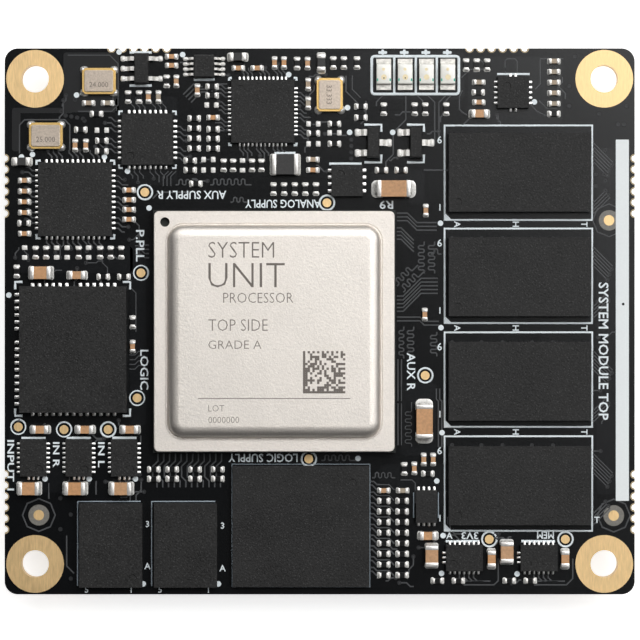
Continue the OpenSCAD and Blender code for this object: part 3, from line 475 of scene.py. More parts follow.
def islands(bm: BMesh) -> list[list[bmesh.types.BMFace]]:
    """Splits a shape into its separate solids.

    Args:
        bm: Shape with merged vertices.

    Returns:
        The faces of each solid.
    """
    seen: set[bmesh.types.BMFace] = set()
    groups = []
    for first in bm.faces:
        if first in seen:
            continue
        seen.add(first)
        group = [first]
        for face in group:
            fresh = {other for edge in face.edges for other in edge.link_faces} - seen
            seen |= fresh
            group += fresh
        groups.append(group)
    return groups


def face_box(faces: Iterable[bmesh.types.BMFace]) -> Box:
    """Measures a group of faces.

    Args:
        faces: Faces of one solid.

    Returns:
        Its centre and its size.
    """
    points = [v.co for f in faces for v in f.verts]
    low = Vector([min(p[i] for p in points) for i in range(3)])
    high = Vector([max(p[i] for p in points) for i in range(3)])
    return (low + high) / 2, high - low


def at_mm(x: float, y: float, z: float, degrees: float = 0.0) -> Matrix:
    """Gives a place in millimetres, with a turn about the vertical."""
    return Matrix.Translation(Vector((x, y, z)) * MM) @ Matrix.Rotation(math.radians(degrees), 4, "Z")


def stamped(copies: Copies) -> BMesh:
    """Joins copies of small shapes into one, and removes the small shapes.

    Args:
        copies: A small shape around the origin and a place for it, once for each copy.

    Returns:
        The joined shape.
    """
    bm = bmesh.new()
    used = set()
    for pattern, place in copies:
        first = len(bm.verts)
        bm.from_mesh(pattern)
        bm.verts.ensure_lookup_table()
        bmesh.ops.transform(bm, matrix=place, verts=bm.verts[first:])
        used.add(pattern)
    for pattern in used:
        bpy.data.meshes.remove(pattern)
    return bm


def arc(
    x: float, y: float, r: float, start: float, sweep: float, steps: int, tall: float = 1.0
) -> list[Point]:
    """Gives points on an arc.

    Args:
        x: Centre along X.
        y: Centre along Y.
        r: Radius along X.
        start: Angle of the first point in degrees.
        sweep: Angle from the first point to the last.
        steps: Steps between them.
        tall: Radius along Y as a share of the one along X.

    Returns:
        The points, with both ends.
    """
    angles = [math.radians(start + sweep * k / steps) for k in range(steps + 1)]
    return [(x + r * math.cos(a), y + tall * r * math.sin(a)) for a in angles]


@dataclass
class Lines:
    """Flat lines of even width on the board, drawn as paths and made one mesh."""

    width: float
    rise: float
    level: float
    roundness: int = 1
    corner_steps: int = 2
    paths: list[tuple[Path, bool, float]] = field(default_factory=list)

    def add(self, path: Path, closed: bool = False, width: float = 0.0) -> None:
        """Adds one path in millimetres, with its own width if given."""
        self.paths.append((path, closed, (width or self.width) / self.width))

    def circle(self, x: float, y: float, r: float, steps: int, width: float) -> None:
        """Adds a round line with so many straight steps."""
        self.add(arc(x, y, r, 0, 360, steps)[:-1], True, width)

    def rectangle(
        self, x0: float, y0: float, x1: float, y1: float, width: float = 0.0, r: float = 0.0
    ) -> None:
        """Adds a closed frame.

        Args:
            x0: Left side.
            y0: Lower side.
            x1: Right side.
            y1: Upper side.
            width: Width of the line, if not the usual one.
            r: Radius of its corners, if they are round.
        """
        turns = ((x1 - r, y0 + r, -90), (x1 - r, y1 - r, 0), (x0 + r, y1 - r, 90), (x0 + r, y0 + r, 180))
        path = []
        for x, y, start in turns:
            path += arc(x, y, r, start, 90, self.corner_steps) if r else [(x, y)]
        self.add(path, True, width)

    def corners(self, x0: float, y0: float, x1: float, y1: float, arm: float) -> None:
        """Adds an angle at each corner of a frame.

        Args:
            x0: Left side of the frame.
            y0: Lower side.
            x1: Right side.
            y1: Upper side.
            arm: Length of an angle's two arms.
        """
        for x, dx in ((x0, arm), (x1, -arm)):
            for y, dy in ((y0, arm), (y1, -arm)):
                self.add([(x + dx, y), (x, y), (x, y + dy)])

    def mesh(self, name: str) -> Mesh:
        """Sweeps all paths and presses them flat on the board.

        Args:
            name: Name of the mesh.

        Returns:
            The mesh of all lines.
        """
        curve = bpy.data.curves.new(name, "CURVE")
        curve.dimensions = "3D"
        curve.bevel_depth = self.width / 2 * MM
        curve.bevel_resolution = self.roundness
        curve.use_fill_caps = True
        for path, closed, share in self.paths:
            spline = curve.splines.new("POLY")
            spline.points.add(len(path) - 1)
            spline.use_cyclic_u = closed
            for point, (x, y) in zip(spline.points, path):
                point.co = (x * MM, y * MM, 0.0, 1.0)
                point.radius = share
        mesh = from_curve(curve)
        flat = Matrix.Diagonal((1.0, 1.0, 2 * self.rise / self.width, 1.0))
        mesh.transform(at_mm(0.0, 0.0, self.level) @ flat)
        return mesh


@dataclass
class Lettering:
    """Lines of print made from text and joined into one shape."""

    thickness: float
    level: float
    weight: float = 0.0
    half_unit: float = 0.5
    curve_steps: int = 2
    lines: list[tuple[Mesh, Matrix]] = field(default_factory=list)

    def add(
        self, text: str, x: float, y: float, height: float, turn: Turn = Turn.UPRIGHT, length: float = 0.0
    ) -> None:
        """Adds one line of capitals or digits.

        Args:
            text: What the line says.
            x: Left end of the base line before the turn, or its middle where length is 0.
            y: Base line before the turn.
            height: Height of a capital.
            turn: Way the line is turned about that point.
            length: Length that the line is fitted to, 0 for the type's own.
        """
        curve = bpy.data.curves.new("print_line", "FONT")
        curve.body = text
        curve.extrude = self.half_unit
        curve.offset = self.weight
        curve.resolution_u = self.curve_steps
        mesh = from_curve(curve)
        xs = [v.co.x for v in mesh.vertices]
        ys = [v.co.y for v in mesh.vertices]
        tall = height / (max(ys) - min(ys))
        wide = length / (max(xs) - min(xs)) if length else tall
        start = min(xs) if length else (min(xs) + max(xs)) / 2
        scale = Matrix.Diagonal((wide * MM, tall * MM, self.thickness * MM, 1.0))
        home = Matrix.Translation((-start, -min(ys), 0.0))
        self.lines.append((mesh, at_mm(x, y, self.level, turn.value) @ scale @ home))

    def shape(self) -> BMesh:
        """Joins all lines and closes the letters' seams.

        Returns:
            The shape of all lines.
        """
        bm = stamped(self.lines)
        bmesh.ops.remove_doubles(bm, verts=bm.verts, dist=MERGE_DISTANCE)
        return bm


def cone(radius: float, share: float, height: float, segments: int) -> BMesh:
    """Makes a low cone or a disc.

    Args:
        radius: Radius of its foot in millimetres.
        share: Radius of its top as a share of that.
        height: Its height.
        segments: Sides around it.

    Returns:
        The shape, standing on z = 0.
    """
    bm = bmesh.new()
    bmesh.ops.create_cone(bm, cap_ends=True, segments=segments, radius1=radius * MM,
                          radius2=radius * share * MM, depth=height * MM)
    lift(bm, height / 2)
    return bm


def disc(radius: float, height: float, segments: int = 20, top_share: float = 0.97) -> Mesh:
    """Makes a thin disc with a softened rim, standing on z = 0."""
    return to_mesh(cone(radius, top_share, height, segments), "disc")


def block(length: float, width: float, height: float) -> BMesh:
    """Makes a plain block.

    Args:
        length: Size along X in millimetres.
        width: Size along Y.
        height: Size along Z.

    Returns:
        The shape around the origin.
    """
    bm = bmesh.new()
    bmesh.ops.create_cube(bm, size=1.0)
    sides = Matrix.Diagonal((length * MM, width * MM, height * MM, 1.0))
    bmesh.ops.transform(bm, matrix=sides, verts=bm.verts)
    return bm


def rounded_block(size: Vector, share: float, steps: int = 2) -> Mesh:
    """Makes a block with round edges.

    Args:
        size: Its three sides in metres.
        share: Radius of its edges as a share of the least side.
        steps: Steps across an edge.

    Returns:
        The mesh around the origin.
    """
    bm = block(*(size / MM))
    bevel(bm, bm.edges[:], share * min(size) / MM, steps)
    return to_mesh(bm, "rounded_block")


def pillow(length: float, width: float, height: float, share: float = 0.46, steps: int = 3) -> Mesh:
    """Makes a small mound of solder with rounded sides.

    Args:
        length: Size along X in millimetres.
        width: Size along Y.
        height: Size along Z.
        share: Radius of its sides as a share of the least size.
        steps: Steps across a side.

    Returns:
        The mesh, standing on z = 0.
    """
    bm = block(length, width, 2 * height)
    bevel(bm, bm.edges[:], share * min(2 * height, width, length), steps)
    halve(bm, (0.0, 0.0, 1.0))
    return to_mesh(bm, "pillow")


def plate(length: float, width: float, height: float, corner: float, steps: int = 4) -> BMesh:
    """Makes a thin plate with round corners in plan.

    Args:
        length: Size along X in millimetres.
        width: Size along Y.
        height: Size along Z.
        corner: Radius of the corners.
        steps: Steps across a corner.

    Returns:
        The shape, standing on z = 0.
    """
    bm = block(length, width, height)
    upright = [e for e in bm.edges if abs(e.verts[0].co.z - e.verts[1].co.z) > height * MM / 2]
    bevel(bm, upright, corner, steps)
    lift(bm, height / 2)
    return bm


def slab(length: float, width: float, height: float, corner: float) -> Mesh:
    """Makes a thin plate, as a mesh to copy or to place."""
    return to_mesh(plate(length, width, height, corner), "slab")


@dataclass(frozen=True)
class Softbox:
    """One square lamp that faces the object."""

    name: str
    size: float
    place: Triple
    power: float


@dataclass
class Studio:
    """Camera, lights and floor."""

    lens: float = 200.0
    sensor: float = 36.0
    clip: Point = (0.01, 10.0)
    picture_width: float = 60.95
    aim: Triple = (0.03, 0.13, 5.6)
    softboxes: tuple[Softbox, ...] = (
        Softbox("softbox", 0.8, (0.35, 0.35, 0.84), 8.0),
        Softbox("fill_softbox", 0.45, (-0.3, 0.52, 0.75), 1.7),
    )
    bright_side: Triple = (0.78, 0.54, 0.17)
    sky_from: Point = (-0.35, 0.95)
    sky_to: Point = (0.05, 2.6)
    white: tuple[float, ...] = (1.0, 1.0, 1.0, 1.0)
    floor_size: float = 3.0
    floor_drop: float = 0.02
    floor_colour: tuple[float, ...] = (0.9, 0.9, 0.9, 1.0)
    floor_roughness: float = 0.9
    floor_specular: float = 0.1
    white_share: float = 0.72

    def camera(self) -> None:
        """Sets the camera straight above the board."""
        data = bpy.data.cameras.new("overhead_camera")
        data.lens = self.lens
        data.sensor_width = self.sensor
        data.clip_start, data.clip_end = self.clip
        holder = bpy.data.objects.new("overhead_camera", data)
        distance = self.picture_width * self.lens / self.sensor
        holder.location = (Vector(self.aim) + Vector((0.0, 0.0, distance))) * MM
        bpy.context.scene.collection.objects.link(holder)
        bpy.context.scene.camera = holder

    def lamps(self) -> None:
        """Hangs a large softbox to the upper right and a weak one to the upper left."""
        for box in self.softboxes:
            data = bpy.data.lights.new(box.name, "AREA")
            data.shape = "SQUARE"
            data.size = box.size
            data.energy = box.power
            holder = bpy.data.objects.new(box.name, data)
            holder.location = box.place
            holder.rotation_euler = (-Vector(box.place)).to_track_quat("-Z", "Y").to_euler()
            bpy.context.scene.collection.objects.link(holder)

    def room(self) -> None:
        """Shades the room from one side to the other and shows the camera plain white."""
        world = bpy.data.worlds.new("studio_room")
        bpy.context.scene.world = world
        world.use_nodes = True
        nodes = world.node_tree.nodes
        net = Wiring(world.node_tree)
        way = net.add("TexCoord").outputs["Generated"]
        lit = net.add("VectorMath", {0: way, 1: self.bright_side}, operation="DOT_PRODUCT")
        level = net.add("MapRange", interpolation_type="SMOOTHSTEP")
        net.feed(level, {
            "Value": lit.outputs["Value"], "From Min": self.sky_from[0], "From Max": self.sky_from[1],
            "To Min": self.sky_to[0], "To Max": self.sky_to[1],
        })
        net.feed(nodes["Background"], {"Strength": level.outputs["Result"]})
        white = net.add("Background", {"Color": self.white})
        shades = {1: nodes["Background"].outputs[0], 2: white.outputs[0]}
        mix = net.add("MixShader", {"Fac": net.add("LightPath").outputs["Is Camera Ray"], **shades})
        net.feed(nodes["World Output"], {"Surface": mix.outputs["Shader"]})

    def floor(self) -> None:
        """Lays the pale floor under the connectors."""
        bm = bmesh.new()
        bmesh.ops.create_grid(bm, x_segments=1, y_segments=1, size=self.floor_size / 2)
        lift(bm, -self.floor_drop)
        mesh = to_mesh(bm, "studio_floor")
        material = bpy.data.materials.new("studio_floor")
        material.use_nodes = True
        nodes = material.node_tree.nodes
        net = Wiring(material.node_tree)
        shader = nodes["Principled BSDF"]
        net.feed(shader, {
            "Base Color": self.floor_colour, "Roughness": self.floor_roughness,
            "Specular IOR Level": self.floor_specular,
        })
        rays = net.add("LightPath").outputs
        seen = net.math("MAXIMUM", rays["Is Camera Ray"], rays["Is Glossy Ray"])
        glow = net.add("Emission", {"Strength": net.math("MULTIPLY", seen, self.white_share)})
        both = net.add("AddShader", {0: shader.outputs["BSDF"], 1: glow.outputs["Emission"]})
        net.feed(nodes["Material Output"], {"Surface": both.outputs["Shader"]})
        mesh.materials.append(material)
        holder = bpy.data.objects.new("studio_floor", mesh)
        bpy.context.scene.collection.objects.link(holder)

    def build(self) -> None:
        """Sets up the whole studio."""
        self.camera()
        self.lamps()
        self.room()
        self.floor()


@dataclass
class Dresser:
    """Base of the classes that put finished copies in the places of CAD nodes."""

    nodes: Nodes

    def eased(
        self, node: str, radius: float, segments: int, finish: Finish, slot: str, smooth: bool = False
    ) -> None:
        """Replaces one CAD node by its copy with eased edges.

        Args:
            node: Name of the CAD node.
            radius: Radius of its edges in millimetres.
            segments: Steps across an edge.
            finish: Finish of the copy.
            slot: Not used.
            smooth: Whether round surfaces are shaded smooth.
        """
        bm = merged_copy(self.nodes[node])
        ease_edges(bm, radius, segments)
        link_piece(node + "_eased", bm, (finish,), (node,), smooth)


@dataclass
class Board(Dresser):
    """The masked panel with its bare break-off notches and bare rings."""

    half_w: float = 30.0
    half_l: float = 26.0
    notch_r: float = 0.3
    bare_w: float = 0.13
    bare_t: float = 0.012
    bare_lift: float = 0.006
    notch_steps: int = 10
    notch_pitch: float = 1.05
    notch_count: int = 6
    top_tabs: tuple[float, ...] = (-17.2, 16.9)
    side_tabs: tuple[float, ...] = (12.9, -17.2)
    fiducials: tuple[Point, ...] = ((-26.75, -18.45), (27.55, 9.62), (28.0, -18.5))
    ring_r: float = 1.0
    ring_t: float = 0.022
    ring_sides: int = 32

    def panel(self) -> None:
        """Copies the board and leaves its cut edges bare."""
        bm = merged_copy(self.nodes["circuit_board"])
        for face in bm.faces:
            if abs(face.normal.z) < STEEP_COSINE:
                face.material_index = 1
        link_piece("board_panel", bm, (MASK, LAMINATE), ("circuit_board",))

    def bare_edge(self) -> Mesh:
        """Spins the half ring of bare laminate round one break-off notch.

        Returns:
            Its mesh around the notch's centre.
        """
        bm = bmesh.new()
        ends = [bm.verts.new((r * MM, 0.0, 0.0)) for r in (self.notch_r, self.notch_r + self.bare_w)]
        profile = [*ends, bm.edges.new(ends)]
        bmesh.ops.spin(bm, geom=profile, cent=(0.0, 0.0, 0.0), axis=(0.0, 0.0, 1.0), angle=math.pi,
                       steps=self.notch_steps)
        bmesh.ops.solidify(bm, geom=bm.faces[:], thickness=self.bare_t * MM)
        bmesh.ops.recalc_face_normals(bm, faces=bm.faces)
        return to_mesh(bm, "bare_edge")

    def bare_edges(self) -> None:
        """Lays the bare half rings along the three edges with notches."""
        edge = self.bare_edge()
        level = BOARD_TOP + self.bare_lift
        copies = []
        for i in range(self.notch_count):
            offset = (i - (self.notch_count - 1) / 2) * self.notch_pitch
            copies += [(edge, at_mm(tab + offset, self.half_l, level, 180)) for tab in self.top_tabs]
            for side, degrees in ((-self.half_w, -90), (self.half_w, 90)):
                copies += [(edge, at_mm(side, tab + offset, level, degrees)) for tab in self.side_tabs]
        link_piece("bare_notch_edges", stamped(copies), (LAMINATE,))

    def build(self) -> None:
        """Builds the panel, and clears the mask at its notches and around each placement mark."""
        self.panel()
        self.bare_edges()
        ring = disc(self.ring_r, self.ring_t, self.ring_sides)
        rings = stamped([(ring, at_mm(x, y, BOARD_TOP)) for x, y in self.fiducials])
        link_piece("bare_mark_rings", rings, (BARE_RING,))


@dataclass
class Copper:
    """Copper under the mask: tracks, pours and covered vias on both faces."""

    track_w: float = 0.15
    rise: float = 0.036
    via_r: float = 0.22
    via_sides: int = 10
    via_top: float = 0.86
    via_rim: float = 0.42
    dimple_slope: float = 0.08
    dimple_depth: float = 0.8
    fold_r: float = 0.1
    pour_share: float = 0.6
    pour_corner: float = 0.5
    shield_corner: float = 0.25
    keepout_r: float = 1.56
    keepout_w: float = 0.16
    keepout_sides: int = 8
    seed: int = 11
    memory_bases: tuple[float, ...] = (16.9, 7.0, -2.9, -12.7)
    fan_x: float = 25.95
    fan_lead: float = 0.2
    fan_pitch: float = 0.36
    fans: tuple[tuple[int, float, int, float, float], ...] = (
        (6, 0.0, -1, 1.75, 0.1), (4, -6.6, 1, 1.5, 0.15),
    )
    quads: tuple[tuple[float, float, float, int, float], ...] = (
        (-23.27, 11.6, 3.8, 12, 0.5), (-16.4, 17.3, 2.8, 8, 0.5), (-5.42, 19.97, 3.3, 12, 0.4),
    )
    escape_lead: float = 0.3
    escape_slant: float = 0.35
    escape_stub: float = 0.25
    edge_margin: Triple = (29.2, 25.3, 3.1)
    corner_hole: Point = (27.1, 23.1)
    folds: tuple[tuple[float, ...], ...] = (
        (10.95, 4.9, 2.7, 0.6, 0.66, 90), (9.95, 4.9, 2.7, 0.55, 0.66, 90), (7.6, 3.6, 2.5, 0.55, 0.66, 45),
        (8.2, 3.0, 2.6, 0.55, 0.66, 45), (8.95, -3.2, 2.7, 0.6, 0.66, 90), (8.0, -3.2, 2.7, 0.45, 0.66, 90),
        (11.15, -3.0, 2.0, 0.6, 0.66, 90), (8.75, -11.6, 3.9, 0.6, 0.66, 90),
        (-10.1, 13.0, 3.6, 0.55, 0.66, 0), (-8.2, 11.35, 1.5, 0.45, 0.6, 0),
        (5.3, -14.9, 1.9, 0.5, 0.6, 0), (0.5, -13.25, 3.2, 0.5, 0.66, 0),
        (10.9, 6.4, 0.7, 0.5, 0.66, 0), (-13.4, 13.0, 2.2, 0.5, 0.66, 0),
    )
    paths: tuple[Path, ...] = (
        ((6.0, 21.5), (5.4, 20.9), (5.4, 20.5)), ((9.3, 21.5), (9.8, 21.0), (9.8, 20.7)),
        ((8.2, 21.5), (8.2, 19.2), (7.0, 18.0), (7.0, 15.9), (6.3, 15.2), (6.3, 14.2)),
        ((10.3, 21.5), (10.95, 20.85), (10.95, 16.9)), ((12.0, 21.5), (11.35, 20.85), (11.35, 16.9)),
        ((12.5, 21.5), (12.0, 21.0), (12.0, 20.5)), ((3.1, 23.4), (3.1, 22.1), (3.9, 21.3)),
        ((2.5, 23.4), (2.5, 21.9), (3.3, 21.1), (4.4, 19.9)), ((4.4, 21.0), (4.4, 19.3), (3.9, 18.8)),
        ((-28.6, 16.0), (-28.6, 18.7), (-28.1, 19.2), (-24.3, 19.2), (-23.8, 18.7), (-23.8, 16.3)),
        ((-24.0, 25.35), (-20.0, 25.35), (-19.2, 24.55), (-19.2, 20.6), (-19.8, 20.0), (-23.0, 20.0)),
        ((-18.0, 3.2), (-17.5, 2.7), (-17.5, -1.0)), ((-17.7, 9.6), (-17.2, 9.1), (-17.2, 6.0)),
        ((-8.8, 22.6), (-9.6, 22.6), (-10.3, 21.9)), ((13.5, 23.2), (14.3, 24.0), (15.6, 24.0)),
        ((20.9, 21.0), (21.6, 20.3), (22.6, 20.3)), ((21.0, 25.0), (21.0, 22.6), (20.5, 22.1)),
        ((21.0, 25.0), (23.2, 25.0)), ((17.0, 19.8), (17.0, 19.0)),
        ((15.2, 25.0), (15.7, 24.5), (15.7, 23.8)),
        ((17.65, 23.8), (17.65, 24.8), (17.85, 25.0), (18.6, 25.0), (18.8, 24.8), (18.8, 23.8)),
        ((13.6, 22.0), (13.3, 21.4), (13.3, 20.2), (13.6, 19.9), (14.0, 19.65)),
        ((19.6, 21.2), (20.7, 20.0), (21.5, 19.6)), ((-24.1, -20.4), (-24.1, -23.3), (-23.4, -24.0)),
        ((-25.8, -15.4), (-25.8, -16.9)), ((-21.3, -15.2), (-21.3, -16.5)),
        ((7.7, -15.1), (8.8, -15.1), (9.1, -15.4), (9.1, -17.3)),
        ((17.0, -22.6), (17.0, -24.7), (16.6, -25.1), (13.7, -25.1)),
        ((24.1, -22.6), (24.1, -24.5), (23.5, -25.1), (20.4, -25.1)),
        ((14.2, 13.2), (13.0, 14.4), (9.9, 14.4)),
        ((12.9, 18.6), (13.5, 18.6), (14.6, 19.6)), ((-15.9, 11.7), (-15.3, 12.3), (-12.3, 12.3)),
    )
    buses: tuple[tuple[Point, Point, int, Path], ...] = (
        ((7.35, 10.3), (0.0, -0.36), 3, ((1.0, 0.0), (0.9, -0.9), (1.9, 0.0))),
        ((7.35, 8.9), (0.0, -0.36), 4, ((0.4, 0.0), (1.2, -1.2))),
        ((7.35, 2.4), (0.0, -0.36), 5, ((0.6, 0.0), (1.7, 1.7), (1.6, 0.0))),
        ((7.35, 0.4), (0.0, -0.36), 2, ((2.2, 0.0), (0.4, -0.4), (1.4, 0.0))),
        ((7.45, -3.6), (0.33, 0.0), 2, ((0.0, -4.0),)),
        ((7.45, -7.8), (0.33, 0.0), 2, ((0.0, -4.0),)),
        ((11.1, -6.4), (0.33, 0.0), 2, ((0.0, -1.0), (0.2, -0.2), (0.0, -4.4))),
        ((-15.4, -12.6), (0.55, 0.0), 12, ((0.0, -0.7), (-0.5, -0.5), (0.0, -1.0), (0.4, -0.4), (0.0, -0.6))),
        ((-18.1, -3.2), (0.0, -0.45), 4, ((0.5, 0.0), (0.35, 0.35), (0.5, 0.0))),
        ((-17.6, 7.6), (0.0, -0.4), 4, ((0.6, 0.0), (0.35, -0.35), (0.4, 0.0))),
        ((-14.9, 12.9), (0.36, 0.0), 3, ((0.0, 0.9), (0.5, 0.5))),
        ((-13.0, 21.6), (0.25, -0.25), 4, ((1.0, 1.0), (0.6, 0.0))),
        ((4.85, -15.6), (0.0, -1.025), 9, ((0.15, 0.0), (0.45, -0.45), (0.25, 0.0))),
        ((4.85, -15.25), (0.0, -1.025), 9, ((0.3, 0.0), (0.3, -0.3), (1.15, 0.0), (0.5, -0.5))),
    )
    regulators: tuple[float, ...] = (13.3, 20.4)
    regulator_y: float = -24.0
    regulator_pitch: float = 0.45
    regulator_count: int = 4
    regulator_moves: Path = ((0.0, -0.4), (0.35, -0.35))
    regulator_run: float = 0.65
    regulator_step: float = 0.2
    scatter_run: Point = (0.3, 1.3)
    scatter_slope: Point = (0.15, 0.6)
    open_fields: tuple[tuple[float, float, float, float, int], ...] = (
        (-29.3, 16.0, -18.5, 25.0, 4), (-13.0, 13.0, -8.5, 25.3, 6), (-2.0, 13.0, 4.5, 25.3, 8),
        (3.5, 13.8, 13.0, 21.0, 4), (12.5, 18.8, 26.5, 25.3, 6), (26.3, -16.5, 27.9, 8.0, 6),
        (-29.5, -17.0, -16.5, -9.3, 14), (5.0, -25.4, 24.5, -19.8, 18), (-24.5, -17.0, -17.0, -14.0, 8),
        (-29.6, 3.9, -18.0, 8.0, 12),
    )
    single_vias: tuple[Point, ...] = (
        (28.4, 18.75), (28.95, 18.75), (27.2, 16.3), (27.1, 14.0), (27.2, 13.4), (26.3, 14.0), (26.3, 12.9),
        (24.3, 25.2), (23.75, 22.4), (23.75, 20.5), (29.2, 20.5), (26.6, 19.75), (-23.7, -18.4),
        (-24.7, -19.8), (-24.7, -16.85), (-23.7, -24.5), (-23.3, 21.1), (-24.6, 20.0), (-22.4, 19.1),
    )
    tie_start: Point = (12.6, 0.9)
    tie_pitch: float = 2.4
    tie_shift: float = 0.4
    tie_count: int = 5
    via_row_count: int = 4
    via_rows: tuple[tuple[Point, Point], ...] = (
        ((22.3, 24.6), (0.05, -0.45)), ((-24.2, 19.6), (0.55, -0.1)), ((3.0, 15.5), (0.0, 0.6)),
    )
    areas: tuple[tuple[float, float, float, float], ...] = (
        (-26.6, -13.0, 6.0, 6.6), (-16.5, 17.2, 5.9, 8.5), (8.3, 23.4, 11.0, 4.6), (18.6, 22.0, 9.0, 6.4),
        (27.2, 0.0, 1.7, 33.0), (-17.3, -1.0, 1.5, 18.0), (9.4, -9.3, 3.4, 7.0), (7.4, 12.8, 5.2, 3.2),
        (-23.3, 5.9, 11.0, 2.6), (9.0, -15.6, 6.6, 4.0),
    )
    shields: tuple[tuple[float, float, float, float, float], ...] = (
        (-21.75, 22.75, 5.3, 5.7, 0.6), (-28.9, 18.25, 0.8, 4.1, 0.5), (-26.4, 20.08, 5.8, 0.5, 0.4),
    )
    under_vias: tuple[int, int] = (24, 14)
    under_start: Point = (-15.5, -9.0)
    under_pitch: Point = (0.98, 1.18)
    under_tracks: int = 16
    under_paths: tuple[tuple[float, tuple[Triple, ...]], ...] = (
        (0.8, ((12.0, 17.0, 0.0), (12.0, 8.0, -0.4), (10.0, 6.0, -0.4), (10.0, -6.0, 0.0),
               (12.0, -8.0, 0.0), (12.0, -17.0, 0.0))),
        (-0.8, ((-17.0, 17.0, 0.0), (-17.0, 3.0, 0.5), (-16.0, 2.0, 0.5), (-16.0, -17.0, 0.0))),
    )

    def __post_init__(self) -> None:
        """Starts the track lists and the fixed sequence of scattered places."""
        self.draw = random.Random(self.seed)
        self.tracks = Lines(self.track_w, self.rise, BOARD_TOP)
        self.vias: list[Point] = []

    def meander(self, x: float, y: float, length: float, swing: float, pitch: float, degrees: float) -> None:
        """Adds one length-matching track that folds to and fro.

        Args:
            x: Start along X.
            y: Start along Y.
            length: How far the track goes.
            swing: Depth of its folds.
            pitch: Distance between two folds.
            degrees: Way the track runs.
        """
        half, soft = pitch / 2, self.fold_r
        path = [(-half, 0.0)]
        for k in range(int(length / pitch)):
            for u, low, high in ((k * pitch, 0.0, swing), (k * pitch + half, swing, 0.0)):
                away = math.copysign(soft, high - low)
                path += [(u - soft, low), (u, low + away), (u, high - away), (u + soft, high)]
        path.append((length, 0.0))
        self.tracks.add(self.turned(path, x, y, degrees))

    @staticmethod
    def turned(path: Path, x: float, y: float, degrees: float) -> list[Point]:
        """Turns a path about its origin and moves it to a place.

        Args:
            path: Points about the origin.
            x: Place along X.
            y: Place along Y.
            degrees: Turn of the path.

        Returns:
            The moved path.
        """
        c, d = math.cos(math.radians(degrees)), math.sin(math.radians(degrees))
        return [(x + u * c - v * d, y + u * d + v * c) for u, v in path]

    def bundle(self, starts: Sequence[Point], moves: Path, ends: bool = False) -> None:
        """Adds parallel tracks that make the same turns.

        Args:
            starts: First point of each track.
            moves: Steps that every track makes.
            ends: Whether each track ends in a via.
        """
        for start in starts:
            path = [start]
            for dx, dy in moves:
                path.append((path[-1][0] + dx, path[-1][1] + dy))
            self.tracks.add(path)
            if ends:
                self.vias.append(path[-1])

    def routes(self) -> None:
        """Draws the tracks between the processor and its neighbours."""
        for fold in self.folds:
            self.meander(*fold)
        for path in self.paths:
            self.tracks.add(path)
        for (x, y), (dx, dy), count, moves in self.buses:
            self.bundle([(x + dx * k, y + dy * k) for k in range(count)], moves)
        for base in self.memory_bases:
            for count, start, way, reach, taper in self.fans:
                for k in range(count):
                    fall = reach - taper * k
                    place = (self.fan_x, base + start + way * k * self.fan_pitch)
                    self.bundle([place], [(self.fan_lead, 0.0), (fall, way * fall)], k % 2 == 1)
        for first in self.regulators:
            for k in range(self.regulator_count):
                place = (first + self.regulator_pitch * k, self.regulator_y)
                run = self.regulator_run + self.regulator_step * k
                self.bundle([place], [*self.regulator_moves, (run, 0.0)])
        for x, y in Board.fiducials:
            self.tracks.circle(x, y, self.keepout_r, self.keepout_sides, self.keepout_w)

    def escapes(self) -> None:
        """Leads short tracks away from three in four pads of the quad packages, some to a via."""
        slant = self.escape_slant
        for x, y, half, count, pitch in self.quads:
            near = half + self.escape_lead
            for side in range(4):
                for k in range(count):
                    along = (k - (count - 1) / 2) * pitch
                    beside = along + (slant if side % 2 else -slant)
                    path = [(half, along), (near, along), (near + slant, beside)]
                    path.append((near + slant + self.escape_stub + slant * (k % 2), beside))
                    path = self.turned(path, x, y, 90.0 * side)
                    if k % 4 != 3 and self.clear(*path[-1]):
                        self.tracks.add(path)
                        if k % 3 == 1:
                            self.vias.append(path[-1])

    def scatter(self) -> None:
        """Adds short tracks with a via, spread over the open parts of the board."""
        for x0, y0, x1, y1, count in self.open_fields:
            for _ in range(count):
                x, y = self.draw.uniform(x0, x1), self.draw.uniform(y0, y1)
                run, slope = self.draw.uniform(*self.scatter_run), self.draw.uniform(*self.scatter_slope)
                sx, sy = self.draw.choice((-1, 1)), self.draw.choice((-1, 1))
                along = (sx * run, 0.0) if self.draw.random() < 0.5 else (0.0, sy * run)
                moves = [along, (sx * slope, sy * slope), (along[0] / 2, along[1] / 2)]
                end = (x + sum(m[0] for m in moves), y + sum(m[1] for m in moves))
                if self.clear(x, y) and self.clear(*end):
                    self.vias.append((x, y))
                    self.bundle([(x, y)], moves)

    def clear(self, x: float, y: float) -> bool:
        """Tells whether a place is on the board and away from the corner holes.

        Args:
            x: Place along X.
            y: Place along Y.

        Returns:
            True where a via has room.
        """
        reach_x, reach_y, away = self.edge_margin
        corner = math.hypot(abs(x) - self.corner_hole[0], abs(y) - self.corner_hole[1]) < away
        return abs(x) < reach_x and abs(y) < reach_y and not corner

    def tied_vias(self) -> None:
        """Adds the vias round the memory chips and beside the small parts."""
        self.vias += self.single_vias
        x, above = self.tie_start
        row = [x + self.tie_pitch * k + self.tie_shift * (k % 2) for k in range(self.tie_count)]
        for base in self.memory_bases:
            self.vias += [(x, base + above) for x in row]
        for (x, y), (dx, dy) in self.via_rows:
            self.vias += [(x + dx * k, y + dy * k) for k in range(self.via_row_count)]

